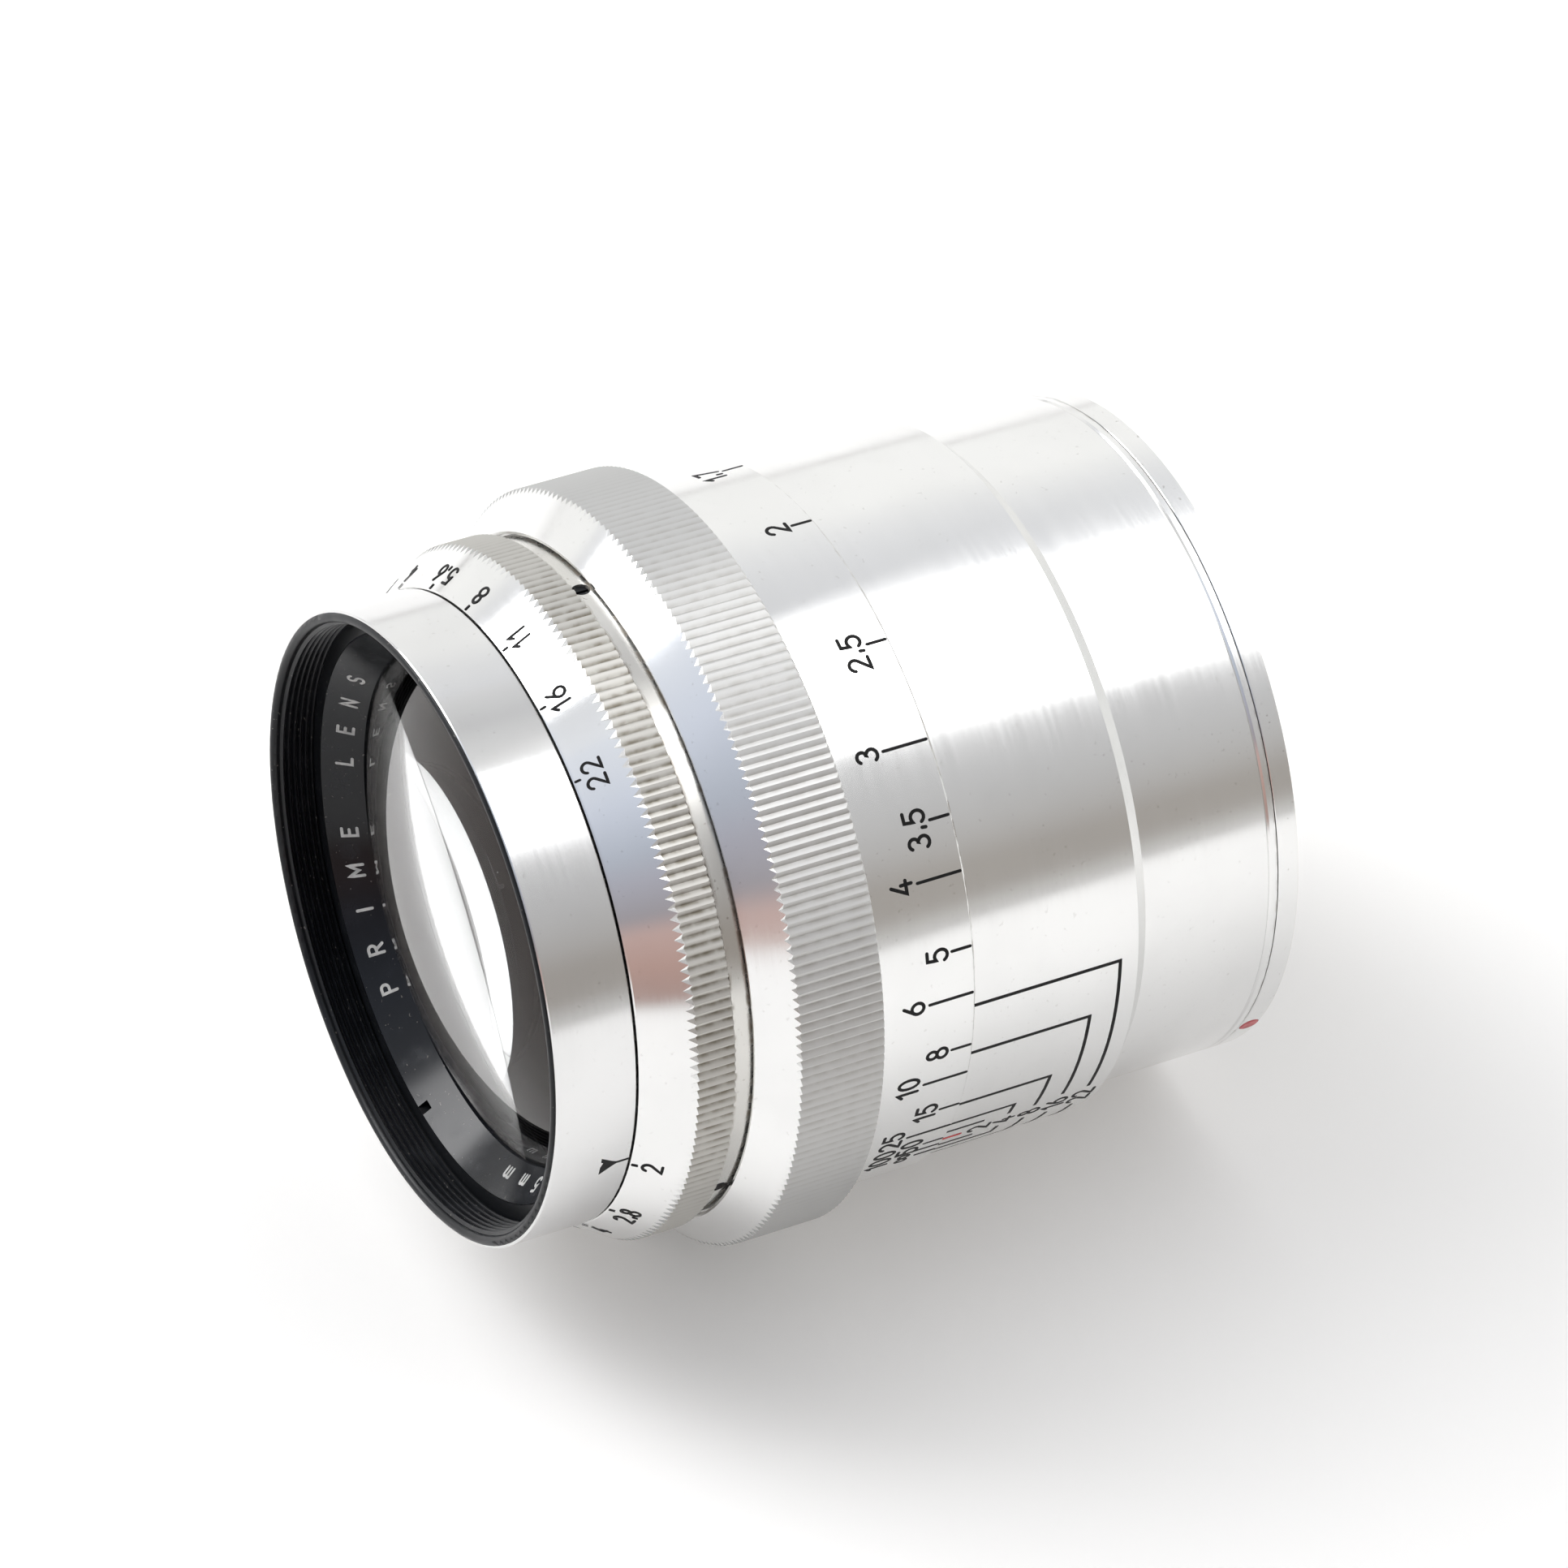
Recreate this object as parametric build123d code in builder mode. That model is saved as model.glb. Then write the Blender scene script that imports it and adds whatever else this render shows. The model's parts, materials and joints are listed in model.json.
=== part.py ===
from build123d import *
from math import cos, radians, sin, sqrt
import os

# Short portrait lens for a rangefinder camera, lying on its side.
#
# The optical axis is Y. The origin is the centre of the rear mounting face, +Y runs back
# towards the camera, -Y runs forward to the subject, and +Z is up as the lens lies.
# Millimetres. Lengths along the axis are written as y, so everything in the lens is at a
# negative y. Angles are measured about Y from +Z towards +X.
#
# Everything is drawn with the focus at infinity and the iris wide open.

# ---------------------------------------------------------------- driving dimensions

FIT_GAP = 0.02        # radial gap where two pieces are screwed, pressed or cemented together
RUN_GAP = 0.20        # radial gap where a ring turns or slides on another
END_GAP = 0.10        # gap along the axis between moving shoulders

# Outside stations, front to back
LIP_FRONT = -63.70
RIM_FRONT = -63.50
RIM_BACK = -56.75
APERTURE_FRONT = -56.60
APERTURE_KNURL_FRONT = -52.75
APERTURE_BACK = -49.60
COLLAR_FRONT = -49.50
FOCUS_FRONT = -47.95
FOCUS_KNURL_FRONT = -45.35
FOCUS_BACK = -38.22
SLEEVE_BACK = -29.62
BARREL_FRONT = SLEEVE_BACK + END_GAP
BARREL_STEP = -15.05
BARREL_STEP_END = -13.70
REAR_GROOVE_Y = -2.58
MOUNT_RING_FRONT = -1.80

# Outside radii
RIM_R = 25.50
RIM_BORE_R = 24.90
LIP_R = 25.30
NUMBER_CONE_R = 25.60
APERTURE_R = 28.00
COLLAR_R = 27.30
FOCUS_CONE_R = 27.75
FOCUS_R = 30.60
SLEEVE_R = 28.90
BARREL_R = 28.40
REAR_R = 27.10

# Knurls
FOCUS_TEETH = 240
APERTURE_TEETH = 216
KNURL_DEPTH = 0.40

# Front thread for filters
FILTER_THREAD_R = 24.50
FILTER_FLOOR = -60.25

# Helicoid and focusing motion. The lead of the helicoid is 11.2 mm for a full turn.
FOCUS_TURN = 145.0            # degrees from infinity to the near stop
HELICOID_R = 24.00            # the pair of helicoid threads is a plain pair of cylinders
HELICOID_BACK = -13.00
NUT_FRONT = -36.00
NUT_BACK = -16.00
NUT_OUTER_R = 25.90
NECK_R = 28.10                # the neck of the barrel that the distance sleeve slides over
NECK_FRONT = -40.00

# Rangefinder coupler, turning in the back of the barrel
COUPLER_FRONT = -12.00
COUPLER_BACK = -8.20
COUPLER_R = 24.70
COUPLER_BORE_R = 22.60
TONGUE_WIDTH = 6.00
TONGUE_OUTER_R = 23.90
TONGUE_FRONT = -24.00
PRONG_BACK = -3.20
PRONG_THICKNESS = 0.75
PRONG_START = 20.0
PRONG_ARC = 16.0
STOP_SCREW_Y = -10.10
STOP_SCREW_ANGLE = 296.0
STOP_SCREW_R = 0.70
STOP_GROOVE_FLOOR_R = 23.60

# Camera mount
MOUNT_BORE_R = 25.25
MOUNT_BORE_DEPTH = 3.00
MOUNT_GALLERY_R = 24.85       # channel that the camera's claws turn in, behind the bore
MOUNT_RING_DEPTH = 6.00
MOUNT_SPIGOT_R = 25.70
LUG_R = 23.60
LUG_BACK = -3.20
LUG_THICKNESS = 2.00
LUG_COUNT = 3
LUG_ARC = 44.0
MOUNT_SCREW_COUNT = 4
MOUNT_SCREW_START = 45.0
MOUNT_SCREW_PCR = 26.15       # radius of the circle the screws stand on
INDEX_ANGLE = 116.7           # the focus index line, and the middle of the first lug
DOT_ANGLE = 115.6             # the red mounting dot
DOT_Y = -0.91
DOT_R = 0.82
DOT_SEAT_DEPTH = 0.60

# Optical head
HEAD_R = 24.00                # the bearing the aperture ring turns on
HEAD_FRONT = -59.35
HEAD_BODY_R = 22.35
HEAD_BORE_R = 21.35
HEAD_SHOULDER = -32.58
HEAD_TAIL_BORE_R = 20.20
HEAD_SEAT_R = 23.15           # wider bore in front, which the name ring screws into
HEAD_SEAT_BACK = -57.00
SET_SCREW_ANGLES = (-8.0, 112.0, 232.0)
SET_SCREW_Y = -48.75
SET_SCREW_R = 0.70

# Iris
BLADE_COUNT = 10
BLADE_THICKNESS = 0.06
BLADE_PITCH = 0.16
BLADE_FRONT = -35.10
BLADE_OPEN_R = 12.30
BLADE_OUTER_R = 18.50
BLADE_SPAN = 105.0
PIVOT_CIRCLE_R = 19.20
PIVOT_R = 0.35
PIVOT_HOLE_R = 0.45
PIVOT_EYE_R = 1.05
IRIS_OPENING_R = 12.50
BASE_PLATE_FRONT = -33.45
DRIVE_FLANGE_FRONT = -35.90
DRIVE_FLANGE_BACK = -35.30
DRIVE_FRONT = -52.20
DRIVE_R = 21.20
DRIVE_BORE_R = 20.50
DRIVE_SLOT_PCR = 17.30        # radius of the circle the blade slots stand on
APERTURE_TURN = 107.4         # degrees from the open stop to the smallest aperture
LINK_SCREW_ANGLE = 250.0
LINK_SCREW_Y = -51.00
LINK_SCREW_R = 0.80

# Glass: the front vertex of each group and the edge radius of its elements
FRONT_GLASS_Y = -62.20
FRONT_GLASS_R = 20.90
TRIPLET_Y = -55.50
TRIPLET_R = 18.60
TRIPLET_REAR_R = 15.50
REAR_GROUP_Y = -30.00
REAR_GLASS_R = 12.50
CEMENT = 0.02                 # film between two cemented elements
GLASS_GAP = 0.05              # radial gap round an element in its cell


# ---------------------------------------------------------------- helpers

def turned(*outline):
    """Turn a closed (radius, y) outline about the optical axis, into the open part."""
    with BuildSketch(Plane.XY) as section:
        with BuildLine():
            Polyline(*outline, close=True)
        make_face()
    revolve(section.sketch, axis=Axis.Y)


def ring(inner, outer, front, back):
    """Turn a plain ring between two radii and two stations, into the open part."""
    turned((inner, front), (outer, front), (outer, back), (inner, back))


def across(y):
    """Plane square to the optical axis at a station, facing forward, with +Z up."""
    return Plane(origin=(0, y, 0), x_dir=(1, 0, 0), z_dir=(0, -1, 0))


def outward(angle, y, radius):
    """Plane standing at a radius, facing away from the optical axis, with x along the axis."""
    normal = (sin(radians(angle)), 0, cos(radians(angle)))
    return Plane(origin=(radius * normal[0], y, radius * normal[2]), x_dir=(0, 1, 0), z_dir=normal)


def on_circle(radius, angle):
    """Point of an across() plane at a radius and an angle from +Z towards +X."""
    return (radius * sin(radians(angle)), radius * cos(radians(angle)))


def keep(piece, name):
    """Label a finished piece and write it as its own file."""
    piece.part.label = name
    export_step(piece.part, f"parts/{name}.step")


def sector(inner, outer, first, last):
    """Face between two radii and two angles, for an across() plane, in the open sketch."""
    middle = (first + last) / 2
    with BuildLine() as border:
        ThreePointArc(on_circle(outer, first), on_circle(outer, middle), on_circle(outer, last))
        Line(on_circle(outer, last), on_circle(inner, last))
        ThreePointArc(on_circle(inner, last), on_circle(inner, middle), on_circle(inner, first))
        Line(on_circle(inner, first), on_circle(outer, first))
    make_face(border.edges())


def knurl_outline(teeth, crest):
    """Zigzag outline of straight V knurling, in an across() plane."""
    points = []
    for step in range(2 * teeth):
        radius = crest if step % 2 == 0 else crest - KNURL_DEPTH
        points.append(on_circle(radius, 180.0 * step / teeth))
    return points


def sag(curve, radius):
    """How far a spherical surface lies behind its vertex at a radius."""
    depth = abs(curve) - sqrt(curve ** 2 - radius ** 2)
    return depth if curve > 0 else -depth


def glass(vertex, thickness, front_curve, back_curve, edge, clear=None):
    """Turn a lens element. A surface curve is positive when its centre lies behind the surface.
    With a clear radius, the back has a flat rim outside it."""
    clear = clear or edge
    back = vertex + thickness
    rim_back = back + sag(back_curve, clear)
    with BuildSketch(Plane.XY) as section:
        with BuildLine():
            ThreePointArc((0, vertex), (edge / 2, vertex + sag(front_curve, edge / 2)),
                          (edge, vertex + sag(front_curve, edge)))
            Line((edge, vertex + sag(front_curve, edge)), (edge, rim_back))
            if clear < edge:
                Line((edge, rim_back), (clear, rim_back))
            ThreePointArc((clear, rim_back), (clear / 2, back + sag(back_curve, clear / 2)), (0, back))
            Line((0, back), (0, vertex))
        make_face()
    revolve(section.sketch, axis=Axis.Y)


def slotted_screw(plane, length, shank, head, head_height, slot_width):
    """Screw whose head is flush with the plane and whose shank runs down from it."""
    with BuildSketch(plane.offset(-head_height)) as shank_face:
        Circle(shank)
    extrude(shank_face.sketch, amount=-(length - head_height))
    with BuildSketch(plane) as head_face:
        Circle(head)
    extrude(head_face.sketch, amount=-head_height)
    with BuildSketch(plane) as slot_face:
        Rectangle(2.2 * head, slot_width)
    extrude(slot_face.sketch, amount=-head_height / 2, mode=Mode.SUBTRACT)


os.makedirs("parts", exist_ok=True)


# ---------------------------------------------------------------- fixed barrel and mount

BARREL_BORE_R = NUT_OUTER_R + FIT_GAP
REAR_BORE_R = COUPLER_R + RUN_GAP
MOUNT_SHANK_R = 0.40
MOUNT_HEAD_R = 0.60
MOUNT_HEAD_HEIGHT = 0.60
MOUNT_SCREW_LENGTH = 4.50
STOP_HEAD_R = 1.30
STOP_HEAD_HEIGHT = 0.60

# Barrel: the depth-of-field scale outside, the neck in front, the coupler's seat behind
with BuildPart() as depth_barrel:
    turned((BARREL_BORE_R, NECK_FRONT), (NECK_R, NECK_FRONT), (NECK_R, BARREL_FRONT),
           (BARREL_R - 0.12, BARREL_FRONT), (BARREL_R, BARREL_FRONT + 0.12),
           (BARREL_R, BARREL_STEP), (REAR_R, BARREL_STEP_END),
           (REAR_R, REAR_GROOVE_Y - 0.17), (REAR_R - 0.12, REAR_GROOVE_Y), (REAR_R, REAR_GROOVE_Y + 0.17),
           (REAR_R, MOUNT_RING_FRONT - 0.12), (REAR_R - 0.10, MOUNT_RING_FRONT - 0.03),
           (MOUNT_SPIGOT_R + FIT_GAP, MOUNT_RING_FRONT - 0.03),
           (MOUNT_SPIGOT_R + FIT_GAP, -MOUNT_RING_DEPTH - 0.03),
           (REAR_BORE_R, -MOUNT_RING_DEPTH - 0.03), (REAR_BORE_R, COUPLER_FRONT - END_GAP),
           (HELICOID_R + 0.25, COUPLER_FRONT - END_GAP), (HELICOID_R + 0.25, NUT_BACK + 0.02),
           (BARREL_BORE_R, NUT_BACK + 0.02))
    with BuildSketch(across(MOUNT_RING_FRONT)) as screw_holes:
        with PolarLocations(MOUNT_SCREW_PCR, MOUNT_SCREW_COUNT, start_angle=MOUNT_SCREW_START):
            Circle(MOUNT_SHANK_R + FIT_GAP)
    extrude(screw_holes.sketch, amount=MOUNT_SCREW_LENGTH + MOUNT_RING_FRONT + 0.3, mode=Mode.SUBTRACT)
    with BuildSketch(outward(STOP_SCREW_ANGLE, STOP_SCREW_Y, COUPLER_R)) as stop_hole:
        Circle(STOP_SCREW_R + FIT_GAP)
    extrude(stop_hole.sketch, amount=5.0, mode=Mode.SUBTRACT)
    stop_seat_r = REAR_R - 0.10 - STOP_HEAD_HEIGHT
    with BuildSketch(outward(STOP_SCREW_ANGLE, STOP_SCREW_Y, stop_seat_r)) as stop_seat:
        Circle(STOP_HEAD_R + FIT_GAP)
    extrude(stop_seat.sketch, amount=3.0, mode=Mode.SUBTRACT)
keep(depth_barrel, "depth_barrel")

# Female half of the helicoid, a bronze ring fixed in the barrel
with BuildPart() as helicoid_nut:
    ring(HELICOID_R + RUN_GAP, NUT_OUTER_R, NUT_FRONT, NUT_BACK)
    chamfer(helicoid_nut.edges().filter_by(GeomType.CIRCLE), 0.3)
keep(helicoid_nut, "helicoid_nut")

# Screw whose point stands in the coupler's groove and stops the focusing at both ends
with BuildPart() as focus_stop_screw:
    slotted_screw(outward(STOP_SCREW_ANGLE, STOP_SCREW_Y, REAR_R - 0.10), length=3.05, shank=STOP_SCREW_R,
                  head=STOP_HEAD_R, head_height=STOP_HEAD_HEIGHT - FIT_GAP, slot_width=0.35)
keep(focus_stop_screw, "focus_stop_screw")

# Ring with the bayonet lugs that the camera takes hold of
with BuildPart() as mount_ring:
    turned((MOUNT_GALLERY_R, -MOUNT_RING_DEPTH), (MOUNT_SPIGOT_R, -MOUNT_RING_DEPTH),
           (MOUNT_SPIGOT_R, MOUNT_RING_FRONT), (REAR_R - 0.05, MOUNT_RING_FRONT),
           (REAR_R, MOUNT_RING_FRONT + 0.05), (REAR_R, -0.06), (REAR_R - 0.06, 0.0),
           (MOUNT_BORE_R, 0.0), (MOUNT_BORE_R, -MOUNT_BORE_DEPTH), (MOUNT_GALLERY_R, -MOUNT_BORE_DEPTH))
    with BuildSketch(across(LUG_BACK)) as lugs:
        for number in range(LUG_COUNT):
            centre = INDEX_ANGLE + number * 360 / LUG_COUNT
            sector(LUG_R, MOUNT_GALLERY_R + 0.2, centre - LUG_ARC / 2, centre + LUG_ARC / 2)
    extrude(lugs.sketch, amount=LUG_THICKNESS)
    with BuildSketch(across(0)) as shanks:
        with PolarLocations(MOUNT_SCREW_PCR, MOUNT_SCREW_COUNT, start_angle=MOUNT_SCREW_START):
            Circle(MOUNT_SHANK_R + FIT_GAP)
    extrude(shanks.sketch, amount=-MOUNT_RING_FRONT, mode=Mode.SUBTRACT)
    with BuildSketch(across(0)) as heads:
        with PolarLocations(MOUNT_SCREW_PCR, MOUNT_SCREW_COUNT, start_angle=MOUNT_SCREW_START):
            Circle(MOUNT_HEAD_R + FIT_GAP)
    extrude(heads.sketch, amount=MOUNT_HEAD_HEIGHT + 0.15, mode=Mode.SUBTRACT)
    with BuildSketch(outward(DOT_ANGLE, DOT_Y, REAR_R - DOT_SEAT_DEPTH)) as dot_hole:
        Circle(DOT_R + FIT_GAP)
    extrude(dot_hole.sketch, amount=2.0, mode=Mode.SUBTRACT)
keep(mount_ring, "mount_ring")

# Four small screws that hold the mount ring, one group
with BuildPart() as mount_screws:
    for number in range(MOUNT_SCREW_COUNT):
        angle = radians(MOUNT_SCREW_START + number * 360 / MOUNT_SCREW_COUNT)
        head_plane = Plane(origin=(MOUNT_SCREW_PCR * cos(angle), -0.15, MOUNT_SCREW_PCR * sin(angle)),
                           x_dir=(cos(angle), 0, sin(angle)), z_dir=(0, 1, 0))
        slotted_screw(head_plane, length=MOUNT_SCREW_LENGTH, shank=MOUNT_SHANK_R, head=MOUNT_HEAD_R,
                      head_height=MOUNT_HEAD_HEIGHT - FIT_GAP, slot_width=0.30)
keep(mount_screws, "mount_screws")

# Red enamel dot that shows where the lens goes on the camera
with BuildPart() as mount_index_dot:
    with BuildSketch(outward(DOT_ANGLE, DOT_Y, REAR_R - DOT_SEAT_DEPTH + FIT_GAP)) as dot:
        Circle(DOT_R)
    extrude(dot.sketch, amount=DOT_SEAT_DEPTH + 0.04)
    fillet(mount_index_dot.edges().group_by(SortBy.DISTANCE)[-1], 0.15)
keep(mount_index_dot, "mount_index_dot")

# Threaded ring that keeps the coupler in its seat
with BuildPart() as coupler_retainer:
    ring(COUPLER_BORE_R + PRONG_THICKNESS + 0.10, REAR_BORE_R - FIT_GAP, COUPLER_BACK + END_GAP, -6.20)
    chamfer(coupler_retainer.edges().group_by(Axis.Y)[-1], 0.2)
keep(coupler_retainer, "coupler_retainer")


# ---------------------------------------------------------------- rangefinder coupler

# Ring that turns with the focusing but stays where it is. Two tongues drive it from the
# helicoid tube, and two short prongs behind turn the camera's rangefinder.
STOP_MARGIN = 2.5             # degrees of groove beyond the screw's centre at each end
with BuildPart() as rangefinder_coupler:
    ring(COUPLER_BORE_R, COUPLER_R, COUPLER_FRONT, COUPLER_BACK)
    with BuildSketch(across(COUPLER_FRONT + 0.5)) as tongues:
        with PolarLocations((COUPLER_BORE_R + TONGUE_OUTER_R) / 2, 2, start_angle=90):
            Rectangle(TONGUE_OUTER_R - COUPLER_BORE_R, TONGUE_WIDTH)
    extrude(tongues.sketch, amount=COUPLER_FRONT + 0.5 - TONGUE_FRONT)
    with BuildSketch(across(PRONG_BACK)) as prongs:
        for start in (PRONG_START, PRONG_START + 180):
            sector(COUPLER_BORE_R, COUPLER_BORE_R + PRONG_THICKNESS, start, start + PRONG_ARC)
    extrude(prongs.sketch, amount=PRONG_BACK - COUPLER_BACK + 0.3)
    with BuildSketch(across(STOP_SCREW_Y + 1.0)) as groove:
        sector(STOP_GROOVE_FLOOR_R, COUPLER_R + 1, STOP_SCREW_ANGLE - FOCUS_TURN - STOP_MARGIN,
               STOP_SCREW_ANGLE + STOP_MARGIN)
    extrude(groove.sketch, amount=2.0, mode=Mode.SUBTRACT)
keep(rangefinder_coupler, "rangefinder_coupler")


# ---------------------------------------------------------------- focusing unit

# Male half of the helicoid, with the collar that shows between the two knurled rings
LOCK_FRONT = -25.50
TAIL_R = HEAD_BODY_R - 0.70    # threaded tail of the head, which carries the ring nut
with BuildPart() as helicoid_tube:
    turned((HEAD_BODY_R + FIT_GAP, COLLAR_FRONT), (COLLAR_R - 0.12, COLLAR_FRONT),
           (COLLAR_R, COLLAR_FRONT + 0.12), (COLLAR_R, FOCUS_FRONT + 2.0),
           (HELICOID_R, FOCUS_FRONT + 2.0), (HELICOID_R, HELICOID_BACK),
           (HEAD_BODY_R + FIT_GAP, HELICOID_BACK), (HEAD_BODY_R + FIT_GAP, LOCK_FRONT),
           (TAIL_R + 0.05, LOCK_FRONT), (TAIL_R + 0.05, LOCK_FRONT - 1.5),
           (HEAD_BODY_R + FIT_GAP, LOCK_FRONT - 1.5))
    with BuildSketch(across(HELICOID_BACK)) as slots:
        with PolarLocations(HELICOID_R - 0.5, 2, start_angle=90):
            Rectangle(4.0, TONGUE_WIDTH + 0.3)
    extrude(slots.sketch, amount=HELICOID_BACK - TONGUE_FRONT + 0.5, mode=Mode.SUBTRACT)
    for angle in SET_SCREW_ANGLES:
        with BuildSketch(outward(angle, SET_SCREW_Y, HEAD_BODY_R - 0.5)) as screw_hole:
            Circle(SET_SCREW_R + FIT_GAP)
        extrude(screw_hole.sketch, amount=6.0, mode=Mode.SUBTRACT)
keep(helicoid_tube, "helicoid_tube")

# Three grub screws through the collar that lock the optical head, one group
with BuildPart() as head_set_screws:
    for angle in SET_SCREW_ANGLES:
        slotted_screw(outward(angle, SET_SCREW_Y, COLLAR_R - 0.25), length=COLLAR_R - 0.28 - HEAD_BODY_R,
                      shank=SET_SCREW_R - 0.15, head=SET_SCREW_R, head_height=3.5, slot_width=0.30)
keep(head_set_screws, "head_set_screws")

# Knurled focusing ring: a smooth cone in front, straight knurling to the back edge. Its front edge
# stands clear of the collar, so that a narrow dark gap shows round it.
FOCUS_BORE_R = SLEEVE_R + FIT_GAP
FOCUS_GAP_R = COLLAR_R + 0.26
FOCUS_GAP_DEPTH = 0.90
FOCUS_SEAT = FOCUS_FRONT + 2.10
with BuildPart() as focus_ring:
    with BuildSketch(across(FOCUS_BACK)) as star:
        with BuildLine():
            Polyline(*knurl_outline(FOCUS_TEETH, FOCUS_R), close=True)
        make_face()
    extrude(star.sketch, amount=FOCUS_BACK - FOCUS_FRONT)
    with BuildSketch(Plane.XY) as envelope:
        with BuildLine():
            Polyline((FOCUS_GAP_R, FOCUS_FRONT), (FOCUS_CONE_R, FOCUS_FRONT),
                     (FOCUS_R, FOCUS_KNURL_FRONT), (FOCUS_R, FOCUS_BACK - 0.30), (FOCUS_R - 0.30, FOCUS_BACK),
                     (FOCUS_BORE_R, FOCUS_BACK), (FOCUS_BORE_R, FOCUS_SEAT),
                     (COLLAR_R + FIT_GAP, FOCUS_SEAT), (COLLAR_R + FIT_GAP, FOCUS_FRONT + FOCUS_GAP_DEPTH),
                     (FOCUS_GAP_R, FOCUS_FRONT + FOCUS_GAP_DEPTH), close=True)
        make_face()
    revolve(envelope.sketch, axis=Axis.Y, mode=Mode.INTERSECT)
keep(focus_ring, "focus_ring")

# Distance sleeve: carries the distance scale and slides over the barrel's neck
with BuildPart() as distance_sleeve:
    turned((NECK_R + RUN_GAP, FOCUS_SEAT + 0.10), (SLEEVE_R, FOCUS_SEAT + 0.10),
           (SLEEVE_R, SLEEVE_BACK - 0.12), (SLEEVE_R - 0.12, SLEEVE_BACK), (NECK_R + RUN_GAP, SLEEVE_BACK))
keep(distance_sleeve, "distance_sleeve")

# Optical head barrel: aperture bearing in front, iris and rear cell seats behind
HEAD_BACK = -22.50
LINK_SLOT_MARGIN = 3.0        # degrees of slot beyond the screw's centre at each end
with BuildPart() as head_barrel:
    turned((HEAD_SEAT_R, HEAD_FRONT), (HEAD_R, HEAD_FRONT), (HEAD_R, COLLAR_FRONT - 0.03),
           (HEAD_BODY_R, COLLAR_FRONT - 0.03), (HEAD_BODY_R, LOCK_FRONT - 1.55),
           (TAIL_R, LOCK_FRONT - 1.55), (TAIL_R, HEAD_BACK),
           (HEAD_TAIL_BORE_R, HEAD_BACK), (HEAD_TAIL_BORE_R, HEAD_SHOULDER),
           (HEAD_BORE_R, HEAD_SHOULDER), (HEAD_BORE_R, HEAD_SEAT_BACK), (HEAD_SEAT_R, HEAD_SEAT_BACK))
    with BuildSketch(across(LINK_SCREW_Y + LINK_SCREW_R + 0.15)) as link_slot:
        sector(HEAD_BORE_R - 1, HEAD_R + 1, LINK_SCREW_ANGLE - APERTURE_TURN - LINK_SLOT_MARGIN,
               LINK_SCREW_ANGLE + LINK_SLOT_MARGIN)
    extrude(link_slot.sketch, amount=2 * (LINK_SCREW_R + 0.15), mode=Mode.SUBTRACT)
keep(head_barrel, "head_barrel")

# Ring nut on the back of the head barrel, against the shoulder in the helicoid tube
with BuildPart() as head_lock_ring:
    ring(TAIL_R + FIT_GAP, HEAD_BODY_R - 0.05, LOCK_FRONT + 0.03, LOCK_FRONT + 2.0)
    with BuildSketch(across(LOCK_FRONT + 2.0)) as spanner_slots:
        Rectangle(60, 1.2)
    extrude(spanner_slots.sketch, amount=0.8, mode=Mode.SUBTRACT)
keep(head_lock_ring, "head_lock_ring")

# Bright front rim that push-on accessories grip
with BuildPart() as front_rim:
    turned((RIM_BORE_R, RIM_FRONT), (RIM_R - 0.08, RIM_FRONT), (RIM_R, RIM_FRONT + 0.08),
           (RIM_R, RIM_BACK - 0.10), (RIM_R - 0.10, RIM_BACK), (HEAD_R + FIT_GAP, RIM_BACK),
           (HEAD_R + FIT_GAP, HEAD_FRONT + 0.05), (RIM_BORE_R, HEAD_FRONT + 0.05))
keep(front_rim, "front_rim")

# Black threaded ring for filters, with a rounded lip over the rim's front edge
NAME_FOOT_R = 22.90           # widest part of the name ring's cone
LIP_MIDDLE_R = (LIP_R + FILTER_THREAD_R) / 2
FILTER_BODY_R = RIM_BORE_R - FIT_GAP
with BuildPart() as filter_ring:
    with BuildSketch(Plane.XY) as filter_section:
        with BuildLine():
            Polyline((FILTER_THREAD_R, RIM_FRONT + 0.15), (FILTER_THREAD_R, FILTER_FLOOR),
                     (NAME_FOOT_R + 0.05, FILTER_FLOOR), (NAME_FOOT_R + 0.05, FILTER_FLOOR + 0.80),
                     (FILTER_BODY_R, FILTER_FLOOR + 0.80), (FILTER_BODY_R, RIM_FRONT - FIT_GAP),
                     (LIP_R, RIM_FRONT - FIT_GAP))
            ThreePointArc((LIP_R, RIM_FRONT - FIT_GAP), (LIP_MIDDLE_R, LIP_FRONT),
                          (FILTER_THREAD_R, RIM_FRONT + 0.15))
        make_face()
    revolve(filter_section.sketch, axis=Axis.Y)
keep(filter_ring, "filter_ring")

# Conical name ring that holds the front glass, with two notches for a spanner
NAME_CONE_BACK = -57.50
NAME_BACK = HEAD_SEAT_BACK - 0.05
NAME_BORE_R = 20.75
NAME_R = HEAD_SEAT_R - 0.05
with BuildPart() as name_ring:
    turned((NAME_FOOT_R, FILTER_FLOOR), (NAME_BORE_R, NAME_CONE_BACK), (NAME_BORE_R, NAME_BACK - 0.20),
           (NAME_BORE_R + 0.50, NAME_BACK), (NAME_R, NAME_BACK), (NAME_R, FILTER_FLOOR + 0.85),
           (NAME_FOOT_R, FILTER_FLOOR + 0.85))
    with BuildSketch(across(FILTER_FLOOR + 1.3)) as notches:
        with PolarLocations(NAME_R, 2, start_angle=-95):
            Rectangle(1.5, 0.9)
    extrude(notches.sketch, amount=2.0, mode=Mode.SUBTRACT)
keep(name_ring, "name_ring")

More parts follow.
